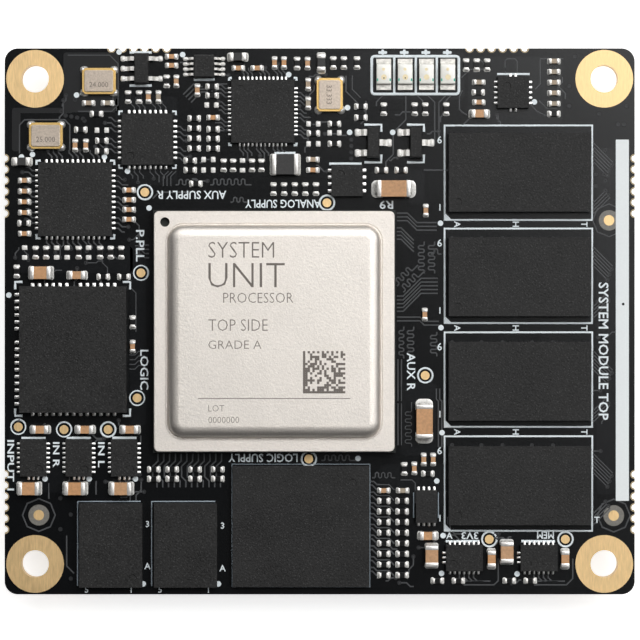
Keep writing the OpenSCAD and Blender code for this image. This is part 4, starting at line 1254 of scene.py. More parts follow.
    def via_pattern(self) -> Mesh:
        """Makes one covered via: a low ring with a sunk middle.

        Returns:
            Its mesh, standing on z = 0.
        """
        bm = cone(self.via_r, self.via_top, self.rise, self.via_sides)
        cap = [f for f in bm.faces if f.normal.z > FLAT_COSINE]
        rim, slope = self.via_r * self.via_rim * MM, self.via_r * self.dimple_slope * MM
        bmesh.ops.inset_region(bm, faces=cap, thickness=rim, use_even_offset=True)
        bmesh.ops.inset_region(bm, faces=cap, thickness=slope, depth=-self.rise * self.dimple_depth * MM)
        return to_mesh(bm, "covered_via")

    def pours(self) -> None:
        """Lays the slightly raised copper areas of the supplies and the crystals' shield."""
        supplies = [(*area, self.pour_share) for area in self.areas]
        for name, plates, corner, finish in (
            ("copper_pours", supplies, self.pour_corner, POUR),
            ("shield_pours", self.shields, self.shield_corner, SHIELD),
        ):
            copies = [(slab(length, width, self.rise * share, corner), at_mm(x, y, BOARD_TOP))
                      for x, y, length, width, share in plates]
            link_piece(name, stamped(copies), (finish,))

    def underside(self) -> None:
        """Adds the via field, open at each fourth place, and the tracks behind the processor."""
        via, flip = self.via_pattern(), Matrix.Rotation(math.pi, 4, "X")
        columns, rows = self.under_vias
        (x, y), (dx, dy) = self.under_start, self.under_pitch
        places = [(x + i * dx, y + j * dy) for i in range(columns) for j in range(rows) if (j - i) % 4]
        vias = stamped([(via, at_mm(*place, BOARD_UNDER) @ flip) for place in places])
        link_piece("underside_vias", vias, (MASKED_VIA,), smooth=True)
        lines = Lines(self.track_w, self.rise, BOARD_UNDER)
        for step, path in self.under_paths:
            for k in range(self.under_tracks):
                lines.add([(x + step * k, y + slide * k) for x, y, slide in path])
        tracks = lines.mesh("underside_tracks")
        # The tracks' light colour is partly their own tone and partly painted sheen.
        link_piece("underside_tracks", tracks, (MASKED_COPPER_AND_PAINTED_SHEEN,), smooth=True)

    def build(self) -> None:
        """Builds both faces' copper."""
        self.pours()
        self.routes()
        self.escapes()
        self.scatter()
        self.tied_vias()
        tracks = self.tracks.mesh("copper_tracks")
        # The tracks' light colour is partly their own tone and partly painted sheen.
        link_piece("copper_tracks", tracks, (MASKED_COPPER_AND_PAINTED_SHEEN,), smooth=True)
        via = self.via_pattern()
        vias = stamped([(via, at_mm(x, y, BOARD_TOP)) for x, y in self.vias])
        link_piece("covered_vias", vias, (MASKED_VIA,), smooth=True)
        self.underside()


@dataclass
class Print:
    """White print on the board: frames, dots, rings, marks and generic words."""

    rise: float = 0.045
    line_w: float = 0.27
    ring_r: float = 0.7
    ring_w: float = 0.2
    ring_sides: int = 24
    dot_r: float = 0.27
    dot_sides: int = 16
    wedge_w: float = 0.7
    wedge_corner: float = 0.01
    memory_frame: Triple = (18.92, 14.05, 9.0)
    memory_rows: tuple[float, ...] = (14.15, 4.33, -5.55, -15.45)
    lamp_frame: tuple[float, float, float, float, float, float] = (4.95, 21.65, 13.25, 25.25, 0.34, 0.25)
    lamp_bars: tuple[float, ...] = (7.1, 9.15, 11.15)
    lamp_bar_w: float = 0.3
    lamp_marks: tuple[float, ...] = (6.0, 8.05, 10.1, 12.15)
    lamp_crosses: tuple[tuple[float, ...], ...] = ((0.84, 0.26, 1.0, 25.6), (0.26, 0.5, 1.1, 25.64))
    cross_corner: float = 0.1
    quad_corners: tuple[tuple[float, ...], ...] = (
        (-29.0, -9.0, -18.05, 3.75, 0.7), (-26.97, 7.9, -19.57, 15.3, 0.4), (-19.1, 14.6, -13.7, 20.0, 0.35),
        (-8.62, 16.77, -2.22, 23.17, 0.25),
    )
    bars: tuple[Triple, ...] = (
        (16.9, 20.0, 23.55), (0.9, 4.0, 15.0), (-28.4, -26.1, -11.1), (-24.1, -21.8, -11.1),
        (-19.75, -17.45, -11.1), (-18.1, -16.0, 25.6), (-18.1, -16.0, 22.45), (-12.0, -10.0, 23.03),
        (-4.3, -2.3, 16.02), (12.0, 15.2, -20.95), (19.2, 22.4, -20.95),
    )
    transistors: tuple[float, ...] = (4.26, 8.31)
    transistor_w: float = 1.6
    transistor_angles: tuple[Point, ...] = ((18.72, 18.05), (15.14, 15.9))
    thin_w: float = 0.11
    storage_frame: tuple[float, float, float, float] = (-8.35, -25.28, 4.78, -13.6)
    flash_frames: tuple[Point, ...] = ((-23.05, -17.05), (-16.0, -9.95))
    flash_ends: Point = (-25.2, -17.15)
    flash_w: float = 0.15
    side_bars: tuple[float, ...] = (8.95, 11.3)
    side_ends: Point = (-18.7, -16.3)
    side_w: float = 0.14
    under_frames: tuple[tuple[float, float, float, float], ...] = (
        (-23.2, 18.2, 23.2, 25.4), (-23.2, -25.4, 23.2, -18.2), (-16.2, -12.9, 7.6, 11.0),
    )
    rings: tuple[Point, ...] = (
        (-16.65, 12.3), (0.69, 11.29), (-17.02, 4.62), (-17.38, -7.3), (-28.7, -10.05), (-24.35, -10.3),
        (-20.15, -10.3), (-1.04, -13.1), (10.05, -5.15), (16.15, -20.75), (23.4, -20.75),
    )
    dots: tuple[Point, ...] = (
        (-29.6, 2.5), (20.45, 20.9), (-26.15, -15.0), (-21.95, -15.0), (-17.55, -15.0), (11.6, -24.0),
        (18.8, -24.05), (-13.05, 25.4), (2.85, 18.0), (6.95, 18.0), (-23.15, 21.55), (-27.35, 15.9),
        (-28.4, 15.65), (-20.5, 15.65), (-19.1, 25.65), (-18.3, 14.3), (-16.25, 10.8), (-2.95, 23.5),
        (2.65, 20.35), (11.15, -15.2), (-16.8, -25.0), (-9.65, -25.0), (11.5, 9.35), (11.55, -0.6),
        (11.65, -10.6), (11.75, -20.4), (3.65, -13.05),
    )
    strip: tuple[float, float, float, float] = (28.82, 0.11, 1.25, 34.4)
    strip_corner: float = 0.05
    speck: Triple = (28.9, 1.65, 0.13)
    speck_share: float = 0.4
    speck_sides: int = 12
    word_weight: float = 0.016
    label_lines: tuple[tuple[str, float, float, float, Turn, float], ...] = (
        ("AUX SUPPLY R", -8.9, 12.45, 0.8, Turn.INVERTED, 6.6),
        ("ANALOG SUPPLY", 0.1, 11.6, 0.8, Turn.INVERTED, 7.2),
        ("R9", 7.0, 11.5, 0.8, Turn.INVERTED, 1.3),
        ("LOGIC SUPPLY", -2.1, -12.6, 0.8, Turn.INVERTED, 6.6),
        ("3V3", 15.1, -20.05, 0.7, Turn.INVERTED, 1.6),
        ("MEM", 22.3, -20.0, 0.7, Turn.INVERTED, 1.6),
        ("P.PLL", -17.5, 8.7, 0.8, Turn.DOWNWARD, 3.0),
        ("LOGIC", -17.1, -2.7, 0.8, Turn.DOWNWARD, 3.8),
        ("INPUT 1", -29.75, -11.3, 0.65, Turn.DOWNWARD, 4.8),
        ("IN R", -25.4, -11.5, 0.62, Turn.DOWNWARD, 2.4),
        ("IN L", -21.1, -11.5, 0.62, Turn.DOWNWARD, 2.4),
        ("AUX R", 8.3, -3.0, 0.8, Turn.DOWNWARD, 3.6),
        ("SYSTEM MODULE TOP", 26.55, 3.7, 0.95, Turn.DOWNWARD, 13.1),
    )
    grid_h: float = 0.6
    memory_grid: tuple[tuple[str, float], ...] = (("A", 12.8), ("H", 18.37), ("T", 24.9))
    memory_grid_y: float = 4.92
    memory_figures: tuple[tuple[str, float, float, float], ...] = (
        ("9", 11.42, 3.5, 0.72), ("1", 11.45, -2.98, 0.62),
    )
    flash_grid: tuple[tuple[str, float, float], ...] = (
        ("3", -16.4, -19.6), ("3", -9.25, -19.75), ("A", -16.4, -23.6), ("A", -9.25, -23.8),
        ("5", -22.2, -25.85), ("5", -15.2, -25.85), ("1", -17.95, -25.85), ("1", -10.6, -25.85),
        ("A", 12.35, -20.7), ("T", 26.4, -19.2),
    )

    def frames(self) -> Mesh:
        """Draws the frames, corner marks, bars and rings.

        Returns:
            Their mesh.
        """
        lines = Lines(self.line_w, self.rise, BOARD_TOP)
        x, width, length = self.memory_frame
        for y in self.memory_rows:
            lines.rectangle(x - width / 2, y - length / 2, x + width / 2, y + length / 2)
        for frame in self.quad_corners:
            lines.corners(*frame)
        lines.rectangle(*self.lamp_frame)
        for x in self.lamp_bars:
            lines.add([(x, self.lamp_frame[1]), (x, self.lamp_frame[3])], width=self.lamp_bar_w)
        for x0, x1, y in self.bars:
            lines.add([(x0, y), (x1, y)])
        for x in self.transistors:
            for y, end in self.transistor_angles:
                lines.add([(x, y), (x + self.transistor_w, y), (x + self.transistor_w, end)])
        for x, y in self.rings:
            lines.circle(x, y, self.ring_r, self.ring_sides, self.ring_w)
        return lines.mesh("print_lines")

    def thin_frames(self) -> Mesh:
        """Draws the thin frames round the storage and flash chips.

        Returns:
            Their mesh.
        """
        thin = Lines(self.thin_w, self.rise, BOARD_TOP)
        thin.rectangle(*self.storage_frame)
        low, high = self.flash_ends
        for x0, x1 in self.flash_frames:
            thin.add([(x0, low), (x0, high), (x1, high)], width=self.flash_w)
        low, high = self.side_ends
        for x in self.side_bars:
            thin.add([(x, low), (x, high)], width=self.side_w)
        return thin.mesh("thin_frames")

    def marks(self) -> BMesh:
        """Makes the dots, the corner triangles and the lamps' crosses.

        Returns:
            Their shape.
        """
        spot = disc(self.dot_r, self.rise, self.dot_sides)
        copies = [(spot, at_mm(x, y, BOARD_TOP)) for x, y in self.dots]
        corner = plate(self.wedge_w, self.wedge_w, self.rise, self.wedge_corner)
        halve(corner, (-1.0, -1.0, 0.0))
        wedge = to_mesh(corner, "corner_triangle")
        x, width, length = self.memory_frame
        left, low = (self.wedge_w - width) / 2, (self.wedge_w - length) / 2
        copies += [(wedge, at_mm(x + left, y + low, BOARD_TOP)) for y in self.memory_rows]
        for length, width, share, y in self.lamp_crosses:
            bar = slab(length, width, self.rise * share, self.cross_corner)
            copies += [(bar, at_mm(x, y, BOARD_TOP)) for x in self.lamp_marks]
        return stamped(copies)

    def words(self) -> BMesh:
        """Sets the generic words and grid letters.

        Returns:
            Their shape.
        """
        text = Lettering(self.rise, BOARD_TOP + self.rise / 2, self.word_weight)
        for line in self.label_lines:
            text.add(*line)
        for y in self.memory_rows:
            for figure, x, above, height in self.memory_figures:
                text.add(figure, x, y + above, height, Turn.INVERTED)
        for y in self.memory_rows[1:]:
            for letter, x in self.memory_grid:
                text.add(letter, x, y + self.memory_grid_y, self.grid_h, Turn.DOWNWARD)
        for letter, x, y in self.flash_grid:
            text.add(letter, x, y, self.grid_h)
        return text.shape()

    def underside(self) -> Mesh:
        """Draws the frames round the connectors and behind the processor.

        Returns:
            Their mesh.
        """
        below = Lines(self.line_w, self.rise, BOARD_UNDER, 0)
        for frame in self.under_frames:
            below.rectangle(*frame)
        return below.mesh("underside_print")

    def build(self) -> None:
        """Builds the print on both faces."""
        x, y, width, length = self.strip
        strip = slab(width, length, self.rise, self.strip_corner)
        strip.transform(at_mm(x, y, BOARD_TOP))
        x, y, radius = self.speck
        speck = disc(radius, self.rise * self.speck_share, self.speck_sides)
        speck.transform(at_mm(x, y, BOARD_TOP + self.rise))
        for name, shape, finish in (
            ("print_lines", self.frames(), PRINT),
            ("thin_frames", self.thin_frames(), FAINT_PRINT),
            ("print_marks", self.marks(), PRINT),
            ("print_words", self.words(), PRINT),
            ("print_strip", strip, STRIP),
            ("strip_speck", speck, MASK),
            ("underside_print", self.underside(), PRINT),
        ):
            link_piece(name, shape, (finish,))


@dataclass
class Processor:
    """The lidded package: stamped lid with rolled edge, and its marking."""

    x: float = -4.3
    y: float = -0.95
    base: float = 7.27
    flange_w: float = 22.8
    flange_t: float = 0.55
    flange_corner: float = 0.5
    flange_edge_r: float = 0.07
    flange_edge_steps: int = 3
    raised_w: float = 20.1
    raised_corner: float = 1.5
    rise: float = 0.944
    roll_w: float = 1.1
    foot_w: float = 0.22
    foot_turn: float = 85.0
    crease_w: float = 0.13
    crease_d: float = 0.08
    crease_start: Point = (0.3, -0.7)
    wall_h: float = 0.36
    wall_lean: float = 0.03
    foot_steps: int = 3
    hollow_w: float = 17.0
    hollow_corner: float = 0.3
    ceiling: float = 0.71
    hole_r: float = 0.45
    hole_sides: int = 32
    hole_inset: float = 1.05
    corner_steps: int = 12
    edge_steps: int = 14
    mark_t: float = 0.006
    mark_weight: float = -0.014
    rule: tuple[float, float, float, float, float] = (-4.3, -7.28, 14.4, 0.07, 0.02)
    code_place: Point = (-1.58, -6.8)
    code_side: float = 4.0
    code_cells: int = 18
    code_corner: float = 0.12
    code_share: float = 0.52
    lines: tuple[tuple[str, float, float, float, float], ...] = (
        ("SYSTEM", -10.5, 6.0, 1.5, 6.2),
        ("UNIT", -10.5, 3.2, 2.3, 7.2),
        ("PROCESSOR", -9.1, 1.75, 0.95, 6.6),
        ("TOP SIDE", -10.5, -0.9, 1.1, 5.6),
        ("GRADE A", -10.5, -2.6, 0.8, 5.0),
        ("LOT", -10.5, -8.5, 0.6, 1.5),
        ("0000000", -10.5, -9.6, 0.6, 2.9),
    )

    def outline(self, bm: BMesh, width: float, corner: float, z: float) -> list[bmesh.types.BMEdge]:
        """Adds a square outline with round corners.

        Args:
            bm: Shape that receives it.
            width: Side of the square in millimetres.
            corner: Radius of its corners.
            z: Height above the lid's underside.

        Returns:
            The outline's edges.
        """
        made = bmesh.ops.create_grid(bm, x_segments=1, y_segments=1, size=width / 2 * MM)["verts"]
        lift(bm, z, made)
        bevel(bm, made, corner, self.corner_steps, Rounded.CORNERS)
        face = next(f for f in bm.faces if abs(f.calc_center_median().z - z * MM) < LEVEL_TOLERANCE)
        edges = list(face.edges)
        bmesh.ops.delete(bm, geom=[face], context="FACES_ONLY")
        return edges

    def lid_mesh(self) -> Mesh:
        """Shapes the lid: flange, concave foot, rolled edge, flat top and hollow underside.

        Returns:
            The lid's mesh around the origin.
        """
        bm = bmesh.new()
        vert, edge = bmesh.types.BMVert, bmesh.types.BMEdge
        outer = self.outline(bm, self.flange_w, self.flange_corner, self.flange_t)
        foot_size = (self.raised_w + 2 * self.foot_w, self.raised_corner + self.foot_w)
        foot = self.outline(bm, *foot_size, self.flange_t)
        hollow = self.outline(bm, self.hollow_w, self.hollow_corner, 0.0)
        bmesh.ops.bridge_loops(bm, edges=outer + foot)
        skirt = bmesh.ops.extrude_edge_only(bm, edges=outer)["geom"]
        low = picked(skirt, vert)
        lift(bm, -self.flange_t, low)
        rim = [e for e in picked(skirt, edge) if all(v in low for v in e.verts)]
        bmesh.ops.bridge_loops(bm, edges=rim + hollow)
        walls = bmesh.ops.extrude_edge_only(bm, edges=hollow)["geom"]
        lift(bm, self.ceiling, picked(walls, vert))
        bmesh.ops.contextual_create(bm, geom=[e for e in picked(walls, edge) if e.is_boundary])
        cap = bmesh.ops.contextual_create(bm, geom=foot)["faces"]
        for step, height in self.edge_section():
            bmesh.ops.inset_region(bm, faces=cap, thickness=step * MM, depth=0.0, use_even_offset=True)
            lift(bm, height, cap[0].verts)
        bmesh.ops.recalc_face_normals(bm, faces=bm.faces)
        bevel(bm, [e for e in outer if e.is_valid], self.flange_edge_r, self.flange_edge_steps)
        return to_mesh(bm, "processor_lid_shell")

    def edge_section(self) -> list[Point]:
        """Gives the steps inwards and upwards from the flange to the flat top.

        Returns:
            Pairs of inset and lift, in millimetres.
        """
        r = self.foot_w - self.crease_w
        start = self.crease_start
        points = [(0.0, 0.0), (start[0] * self.crease_w, start[1] * self.crease_d)]
        points += arc(self.crease_w, r - self.crease_d, r, -90, self.foot_turn, self.foot_steps)
        middle = self.foot_w + self.wall_lean + self.roll_w
        tall = (self.rise - self.wall_h) / self.roll_w
        points += arc(middle, self.wall_h, self.roll_w, 180, -90, self.edge_steps, tall)
        return [(b[0] - a[0], b[1] - a[1]) for a, b in zip(points, points[1:])]

    def lid(self) -> None:
        """Builds the lid and drills its marker hole."""
        mesh = self.lid_mesh()
        mesh.transform(at_mm(self.x, self.y, self.base))
        shell = bpy.data.objects.new("lid_shell", mesh)
        bore = to_mesh(cone(self.hole_r, 1.0, 3 * self.flange_t, self.hole_sides), "lid_drill")
        away = self.flange_w / 2 - self.hole_inset
        bore.transform(at_mm(self.x - away, self.y + away, self.base - self.flange_t))
        drill = bpy.data.objects.new("lid_drill", bore)
        bpy.context.scene.collection.objects.link(drill)
        cut = shell.modifiers.new("marker_hole", "BOOLEAN")
        cut.operation = "DIFFERENCE"
        cut.object = drill
        cut.solver = "EXACT"
        drilled = baked(shell)
        for holder in (shell, drill):
            bpy.data.objects.remove(holder)
        drilled.materials.clear()
        link_piece("processor_lid_stamped", drilled, (LID,), ("processor_lid",), smooth=True)
        for face in drilled.polygons:
            face.use_smooth = abs(face.normal.z) < FLAT_COSINE

    def marking(self) -> None:
        """Etches generic words, a rule and a field of code cells on the lid."""
        level = self.base + self.flange_t + self.rise
        text = Lettering(self.mark_t, level, self.mark_weight)
        for word, x, y, height, length in self.lines:
            text.add(word, x, y, height, length=length)
        link_piece("lid_words", text.shape(), (ETCH,))
        foot = level - self.mark_t / 2
        x, y, length, width, corner = self.rule
        copies = [(slab(length, width, self.mark_t, corner), at_mm(x, y, foot))]
        side = self.code_side / self.code_cells
        cell = slab(side, side, self.mark_t, side * self.code_corner)
        draw = random.Random(self.code_cells)
        last = self.code_cells - 1
        x, y = self.code_place
        for i in range(self.code_cells):
            for j in range(self.code_cells):
                rim = i == 0 or j == 0 or (i == last and j % 2 == 0) or (j == last and i % 2 == 0)
                inner = 0 < i < last and 0 < j < last and draw.random() < self.code_share
                if rim or inner:
                    copies.append((cell, at_mm(x + (i + 0.5) * side, y + (j + 0.5) * side, foot)))
        link_piece("lid_code", stamped(copies), (ETCH,))

    def build(self) -> None:
        """Builds the lid and its marking."""
        self.lid()
        self.marking()


@dataclass
class Packages(Dresser):
    """Moulded and ceramic packages: copies of the solids with eased edges."""

    moulded: tuple[str, ...] = (
        "memory_chip_1", "memory_chip_2", "memory_chip_3", "memory_chip_4", "storage_chip", "flash_chip_1",
        "flash_chip_2", "power_module", "network_transceiver", "port_transceiver", "clock_generator",
        "load_switch", "linear_regulator", "identity_memory", "buck_regulator_1", "buck_regulator_2",
        "buck_regulator_3", "buck_regulator_4", "buck_regulator_5", "reset_supervisor", "bus_buffer",
        "transistor_1", "transistor_2",
    )
    edge_steps: int = 2
    lid_steps: int = 3
    mould_r: float = 0.035
    case_r: float = 0.05
    crystal_lid_r: float = 0.04
    plastic_r: float = 0.08

    def build(self) -> None:
        """Builds every package and both connector housings."""
        for node in self.moulded:
            self.eased(node, self.mould_r, self.edge_steps, MOULD, "mould")
        self.eased("crystal_cases", self.case_r, self.edge_steps, CASE, "crystal_case")
        self.eased("crystal_lids", self.crystal_lid_r, self.lid_steps, CRYSTAL_LID, "crystal_lid")
        for node in ("connector_housing_1", "connector_housing_2"):
            self.eased(node, self.plastic_r, self.edge_steps, PLASTIC, "connector_plastic")


@dataclass
class ChipParts(Dresser):
    """Chip resistors, capacitors, beads and the inductor, with their solder."""

    end_t: float = 0.03
    small_w: float = 0.7
    bulk_w: Point = (1.5, 1.8)
    small_reach: float = 0.14
    wide_reach: float = 0.22
    bulk_reach: float = 0.52
    solder_share: float = 0.8
    solder_limit: float = 0.7
    solder_wider: float = 0.06
    pad_t: float = 0.04
    corner_share: Point = (0.42, 0.9)
    fillet_steps: tuple[Point, ...] = ((0.3, 0.08), (0.32, 0.2), (0.28, 0.72))
    corner_steps: int = 4
    body_r: float = 0.025
    body_steps: int = 2
    end_round: float = 0.2
    pad_round: float = 0.34
    pad_bulge: float = 0.22
    lead_owners: tuple[str, ...] = ("reset_supervisor", "bus_buffer", "transistor_1", "transistor_2")
    mound: Triple = (0.5, 0.16, 0.2)
    mound_inset: float = 0.12
    empty_pad: Triple = (0.46, 0.54, 0.1)
    empty_flat: tuple[Point, ...] = (
        (-10.3, 20.6), (-10.6, 15.4), (-10.6, 14.4), (-0.6, 18.8), (1.4, 17.95), (-0.6, 16.9), (-20.75, 18.2),
    )
    empty_upright: tuple[Point, ...] = (
        (-7.35, 14.85), (-28.1, 6.55), (-25.05, 6.55), (-24.05, 6.55), (-22.0, 6.55),
    )
    grey: tuple[tuple[float, float, float, float], ...] = (
        (-15.8, 20.5, -14.8, 22.0), (-1.6, 20.0, -0.6, 23.2), (-1.2, 15.0, -0.1, 15.8),
        (14.5, 22.3, 15.8, 23.2), (21.5, 20.2, 23.1, 25.4), (-22.8, 20.3, -19.5, 21.2),
        (7.2, -16.6, 8.6, -15.6),
    )
    grey_tint: Point = (0.75, 1.0)
    brown_tint: Point = (0.0, 0.3)
    pad_owners: tuple[str, ...] = (
        "power_module", "network_transceiver", "port_transceiver", "clock_generator", "small_package",
    )

    def fillet(self, reach: float, width: float, height: float) -> Mesh:
        """Shapes the solder at one metal end: it curves up from a round pad to the end.

        Args:
            reach: How far the solder stands out along X, in millimetres.
            width: Its width along Y.
            height: Its height at the metal end.

        Returns:
            The mesh: the metal end is at x = 0 and the board at z = 0.
        """
        bm = bmesh.new()
        made = bmesh.ops.create_grid(bm, x_segments=1, y_segments=1, size=0.5)["verts"]
        bmesh.ops.transform(bm, matrix=Matrix.Diagonal((2 * reach * MM, width * MM, 1.0, 1.0)), verts=made)
        outer = [v for v in made if v.co.x > 0]
        corner = min(self.corner_share[0] * width, self.corner_share[1] * reach)
        bevel(bm, outer, corner, self.corner_steps, Rounded.CORNERS)
        raised = bmesh.ops.extrude_face_region(bm, geom=bm.faces[:])["geom"]
        cap = picked(raised, bmesh.types.BMFace)
        lift(bm, self.pad_t, cap[0].verts)
        for inset, share in self.fillet_steps:
            bmesh.ops.inset_region(bm, faces=cap, thickness=inset * reach * MM, use_even_offset=True)
            lift(bm, share * (height - self.pad_t), cap[0].verts)
        bmesh.ops.recalc_face_normals(bm, faces=bm.faces)
        return to_mesh(bm, "solder_fillet")

    def bodies(self, node: str, finish: Finish, slot: str) -> list[Box]:
        """Replaces the bodies in one node by eased copies with a tint for each.

        Args:
            node: Name of the CAD node.
            finish: Finish of the bodies.
            slot: Not used.

        Returns:
            Centre and size of each body.
        """
        bm = merged_copy(self.nodes[node])
        boxes = [face_box(group) for group in islands(bm)]
        ease_edges(bm, self.body_r, self.body_steps)
        layer = bm.faces.layers.float.new(TINT)
        draw = random.Random(len(boxes))
        for group in islands(bm):
            x, y, _ = face_box(group)[0] / MM
            grey = any(x0 < x < x1 and y0 < y < y1 for x0, y0, x1, y1 in self.grey)
            shade = draw.uniform(*(self.grey_tint if grey else self.brown_tint))
            for face in group:
                face[layer] = shade
        link_piece(node + "_eased", bm, (finish,), (node,))
        return boxes

    def ends(self, node: str, finish: Finish, share: float) -> None:
        """Replaces the metal ends or pads in one node by rounded ones.

        Args:
            node: Name of the CAD node.
            finish: Finish of the ends.
            share: Radius of their edges as a share of the least side.
        """
        source = merged_copy(self.nodes[node])
        patterns: dict[tuple[int, ...], Mesh] = {}
        copies = []
        for group in islands(source):
            centre, size = face_box(group)
            if node == "power_module_pads" and size.x > size.y:
                size.x += self.pad_bulge * MM
                centre.x -= self.pad_bulge / 2 * MM
            key = tuple(round(side / MM * 100) for side in size)
            if key not in patterns:
                patterns[key] = rounded_block(size, share)
            copies.append((patterns[key], Matrix.Translation(centre)))
        source.free()
        link_piece(node + "_rounded", stamped(copies), (finish,), (node,), smooth=True)

    def solder(self, boxes: Sequence[Box]) -> None:
        """Puts a fillet of solder in front of each metal end.

        Args:
            boxes: Centre and size of each body.
        """
        patterns: dict[tuple[float, ...], Mesh] = {}
        copies = []
        for centre, size in boxes:
            length, width = max(size.xy), min(size.xy) / MM + 2 * self.end_t
            bulk = self.bulk_w[0] < width < self.bulk_w[1]
            reach = self.small_reach if width < self.small_w else self.bulk_reach if bulk else self.wide_reach
            height = min(self.solder_share * size.z / MM, self.solder_limit)
            key = (reach, round(width + self.solder_wider, 2), round(height, 2))
            if key not in patterns:
                patterns[key] = self.fillet(*key)
            under = centre.z / MM < BOARD_UNDER
            level = (BOARD_UNDER if under else BOARD_TOP) * MM
            for turn in (0, 180):
                way = Matrix.Rotation(math.radians(turn + (0 if size.x > size.y else 90)), 4, "Z")
                away = way @ Vector((length / 2 + self.end_t * MM, 0.0, 0.0))
                place = Matrix.Translation((centre.x + away.x, centre.y + away.y, level)) @ way
                copies.append((patterns[key], place @ Matrix.Rotation(math.pi if under else 0.0, 4, "X")))
        link_piece("solder_fillets", stamped(copies), (SOLDER,), smooth=True)

    def lead_solder(self) -> None:
        """Puts a mound of solder over the foot of each formed lead."""
        source = merged_copy(self.nodes["formed_leads"])
        owners = [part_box(name) for name in self.lead_owners]
        middles = [(Vector(low) + Vector(high)) / 2 for low, high in owners]
        length, wider, height = self.mound
        copies = []
        for group in islands(source):
            centre, size = face_box(group)
            owner = min(middles, key=lambda middle: (middle - centre).length)
            side = math.copysign(1.0, centre.x - owner.x)
            foot = centre.x / MM + side * (size.x / MM / 2 - self.mound_inset)
            place = at_mm(foot, centre.y / MM, BOARD_TOP)
            copies.append((pillow(length, size.y / MM + wider, height), place))
        source.free()
        link_piece("lead_solder", stamped(copies), (SOLDER,), smooth=True)

    def empty_footprints(self) -> None:
        """Puts solder on the pads of the parts that are left out."""
        pad = pillow(*self.empty_pad)
        copies = []
        for side in (-self.empty_pad[0], self.empty_pad[0]):
            copies += [(pad, at_mm(x + side, y, BOARD_TOP)) for x, y in self.empty_flat]
            copies += [(pad, at_mm(x, y + side, BOARD_TOP, 90)) for x, y in self.empty_upright]
        link_piece("empty_pad_solder", stamped(copies), (SOLDER,), smooth=True)

    def build(self) -> None:
        """Builds every chip part."""
        boxes = []
        for node, finish, slot in (
            ("resistor_bodies", RESISTOR, "resistor_body"),
            ("capacitor_bodies", CERAMIC, "capacitor_body"),
            ("bulk_capacitor_bodies", CERAMIC, "capacitor_body"),
            ("ferrite_bead_bodies", FERRITE, "ferrite"),
            ("power_inductor", FERRITE, "ferrite"),
        ):
            boxes += self.bodies(node, finish, slot)
        for owner in ("resistor", "capacitor", "bulk_capacitor", "inductor"):
            self.ends(owner + "_terminals", TIN, self.end_round)
        for owner in self.pad_owners:
            self.ends(owner + "_pads", PAD_TIN, self.pad_round)
        self.solder(boxes)
        self.lead_solder()
        self.empty_footprints()


@dataclass
class Lamps(Dresser):
    """Indicator lamps: base, clear lens and the lit spots inside."""

    places: tuple[float, ...] = (6.1, 8.13, 10.16, 12.19)
    row_y: float = 23.5
    edge_steps: int = 3
    base_r: float = 0.03
    lens_r: float = 0.09
    lens_top: float = 6.497
    spot_t: float = 0.008
    spots: tuple[tuple[float, float, float, int], ...] = ((0.27, 0.0, -0.3, 20), (0.15, -0.03, 0.45, 16))
    chip_r: float = 0.07
    chip_y: float = -0.38
    chip_sides: int = 12
    side_mark: Triple = (0.12, 0.26, 0.03)
    side_place: Point = (0.6, -0.55)

    def at(self, x: float, y: float) -> Matrix:
        """Gives a place on the lenses, Y from the middle of their row."""
        return at_mm(x, self.row_y + y, self.lens_top)

    def build(self) -> None:
        """Builds the bases, the lenses and what shows through them."""
        self.eased("lamp_bases", self.base_r, self.edge_steps, LAMP_BASE, "lamp_base", smooth=True)
        self.eased("lamp_lenses", self.lens_r, self.edge_steps, LENS, "lamp_lens", smooth=True)
        spots = []
        for radius, dx, dy, sides in self.spots:
            spot = disc(radius, self.spot_t, sides)
            spots += [(spot, self.at(x + dx, dy)) for x in self.places]
        link_piece("lamp_phosphor", stamped(spots), (PHOSPHOR,))
        chip = disc(self.chip_r, 2 * self.spot_t, self.chip_sides)
        chips = [(chip, self.at(x, self.chip_y)) for x in self.places[:2]]
        link_piece("lamp_chips", stamped(chips), (LAMP_CHIP,))
        width, length, corner = self.side_mark
        mark = slab(width, length, self.spot_t, corner)
        dx, dy = self.side_place
        marks = [(mark, self.at(x + side, dy)) for x in self.places for side in (-dx, dx)]
        link_piece("lamp_marks", stamped(marks), (GREEN_MARK,))


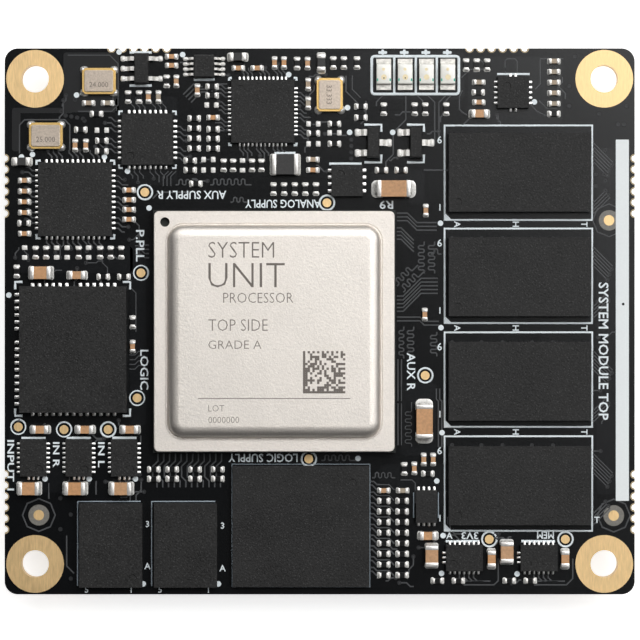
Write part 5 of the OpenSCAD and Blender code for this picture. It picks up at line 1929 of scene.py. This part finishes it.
@dataclass
class Crystals:
    """Solder at the crystals' corners and the figures on their lids."""

    lid_top: float = 6.32
    mark_t: float = 0.008
    half_l: float = 1.42
    half_w: float = 1.08
    drop: Triple = (0.86, 0.76, 0.4)
    figure_h: float = 0.5
    figures_l: float = 1.8
    base_line: Point = (0.6, 0.3)
    flat: tuple[tuple[float, float, str], ...] = ((-21.0, 22.85, "24.000"), (-26.05, 17.65, "25.000"))
    upright: tuple[tuple[float, float, str], ...] = ((0.95, 21.55, "33.333"),)

    def build(self) -> None:
        """Builds the corner solder and the figures."""
        drop = pillow(*self.drop)
        text = Lettering(self.mark_t, self.lid_top)
        start = self.figures_l / 2
        corners = [(u, v) for u in (-self.half_l, self.half_l) for v in (-self.half_w, self.half_w)]
        copies = []
        for x, y, figures in self.flat:
            copies += [(drop, at_mm(x + u, y + v, BOARD_TOP)) for u, v in corners]
            text.add(figures, x - start, y - self.base_line[0], self.figure_h, length=self.figures_l)
        for x, y, figures in self.upright:
            copies += [(drop, at_mm(x + v, y + u, BOARD_TOP, 90)) for u, v in corners]
            text.add(figures, x - self.base_line[1], y + start, self.figure_h, Turn.DOWNWARD, self.figures_l)
        link_piece("crystal_solder", stamped(copies), (PAD_TIN,), smooth=True)
        link_piece("crystal_figures", text.shape(), (ETCH,))


def dress_nodes(nodes: Nodes) -> None:
    """Gives the CAD nodes that stay their finishes.

    Args:
        nodes: The frame's CAD nodes by name.
    """
    for name, finish in NODE_FINISHES.items():
        mesh = nodes[name].data
        mesh.materials.clear()
        mesh.materials.append(finish.build())
        LOG.info("node %s: %s", name, finish.name)


def main() -> None:
    """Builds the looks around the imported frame, piece by piece."""
    logging.basicConfig(level=logging.INFO, format="%(name)s: %(message)s")
    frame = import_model()
    nodes = frame["nodes"]
    bpy.context.scene.view_settings.view_transform = "Standard"
    dress_nodes(nodes)
    Studio().build()
    Board(nodes).build()
    Copper().build()
    Print().build()
    Processor().build()
    Packages(nodes).build()
    ChipParts(nodes).build()
    Lamps(nodes).build()
    Crystals().build()


if __name__ == "__main__":
    main()
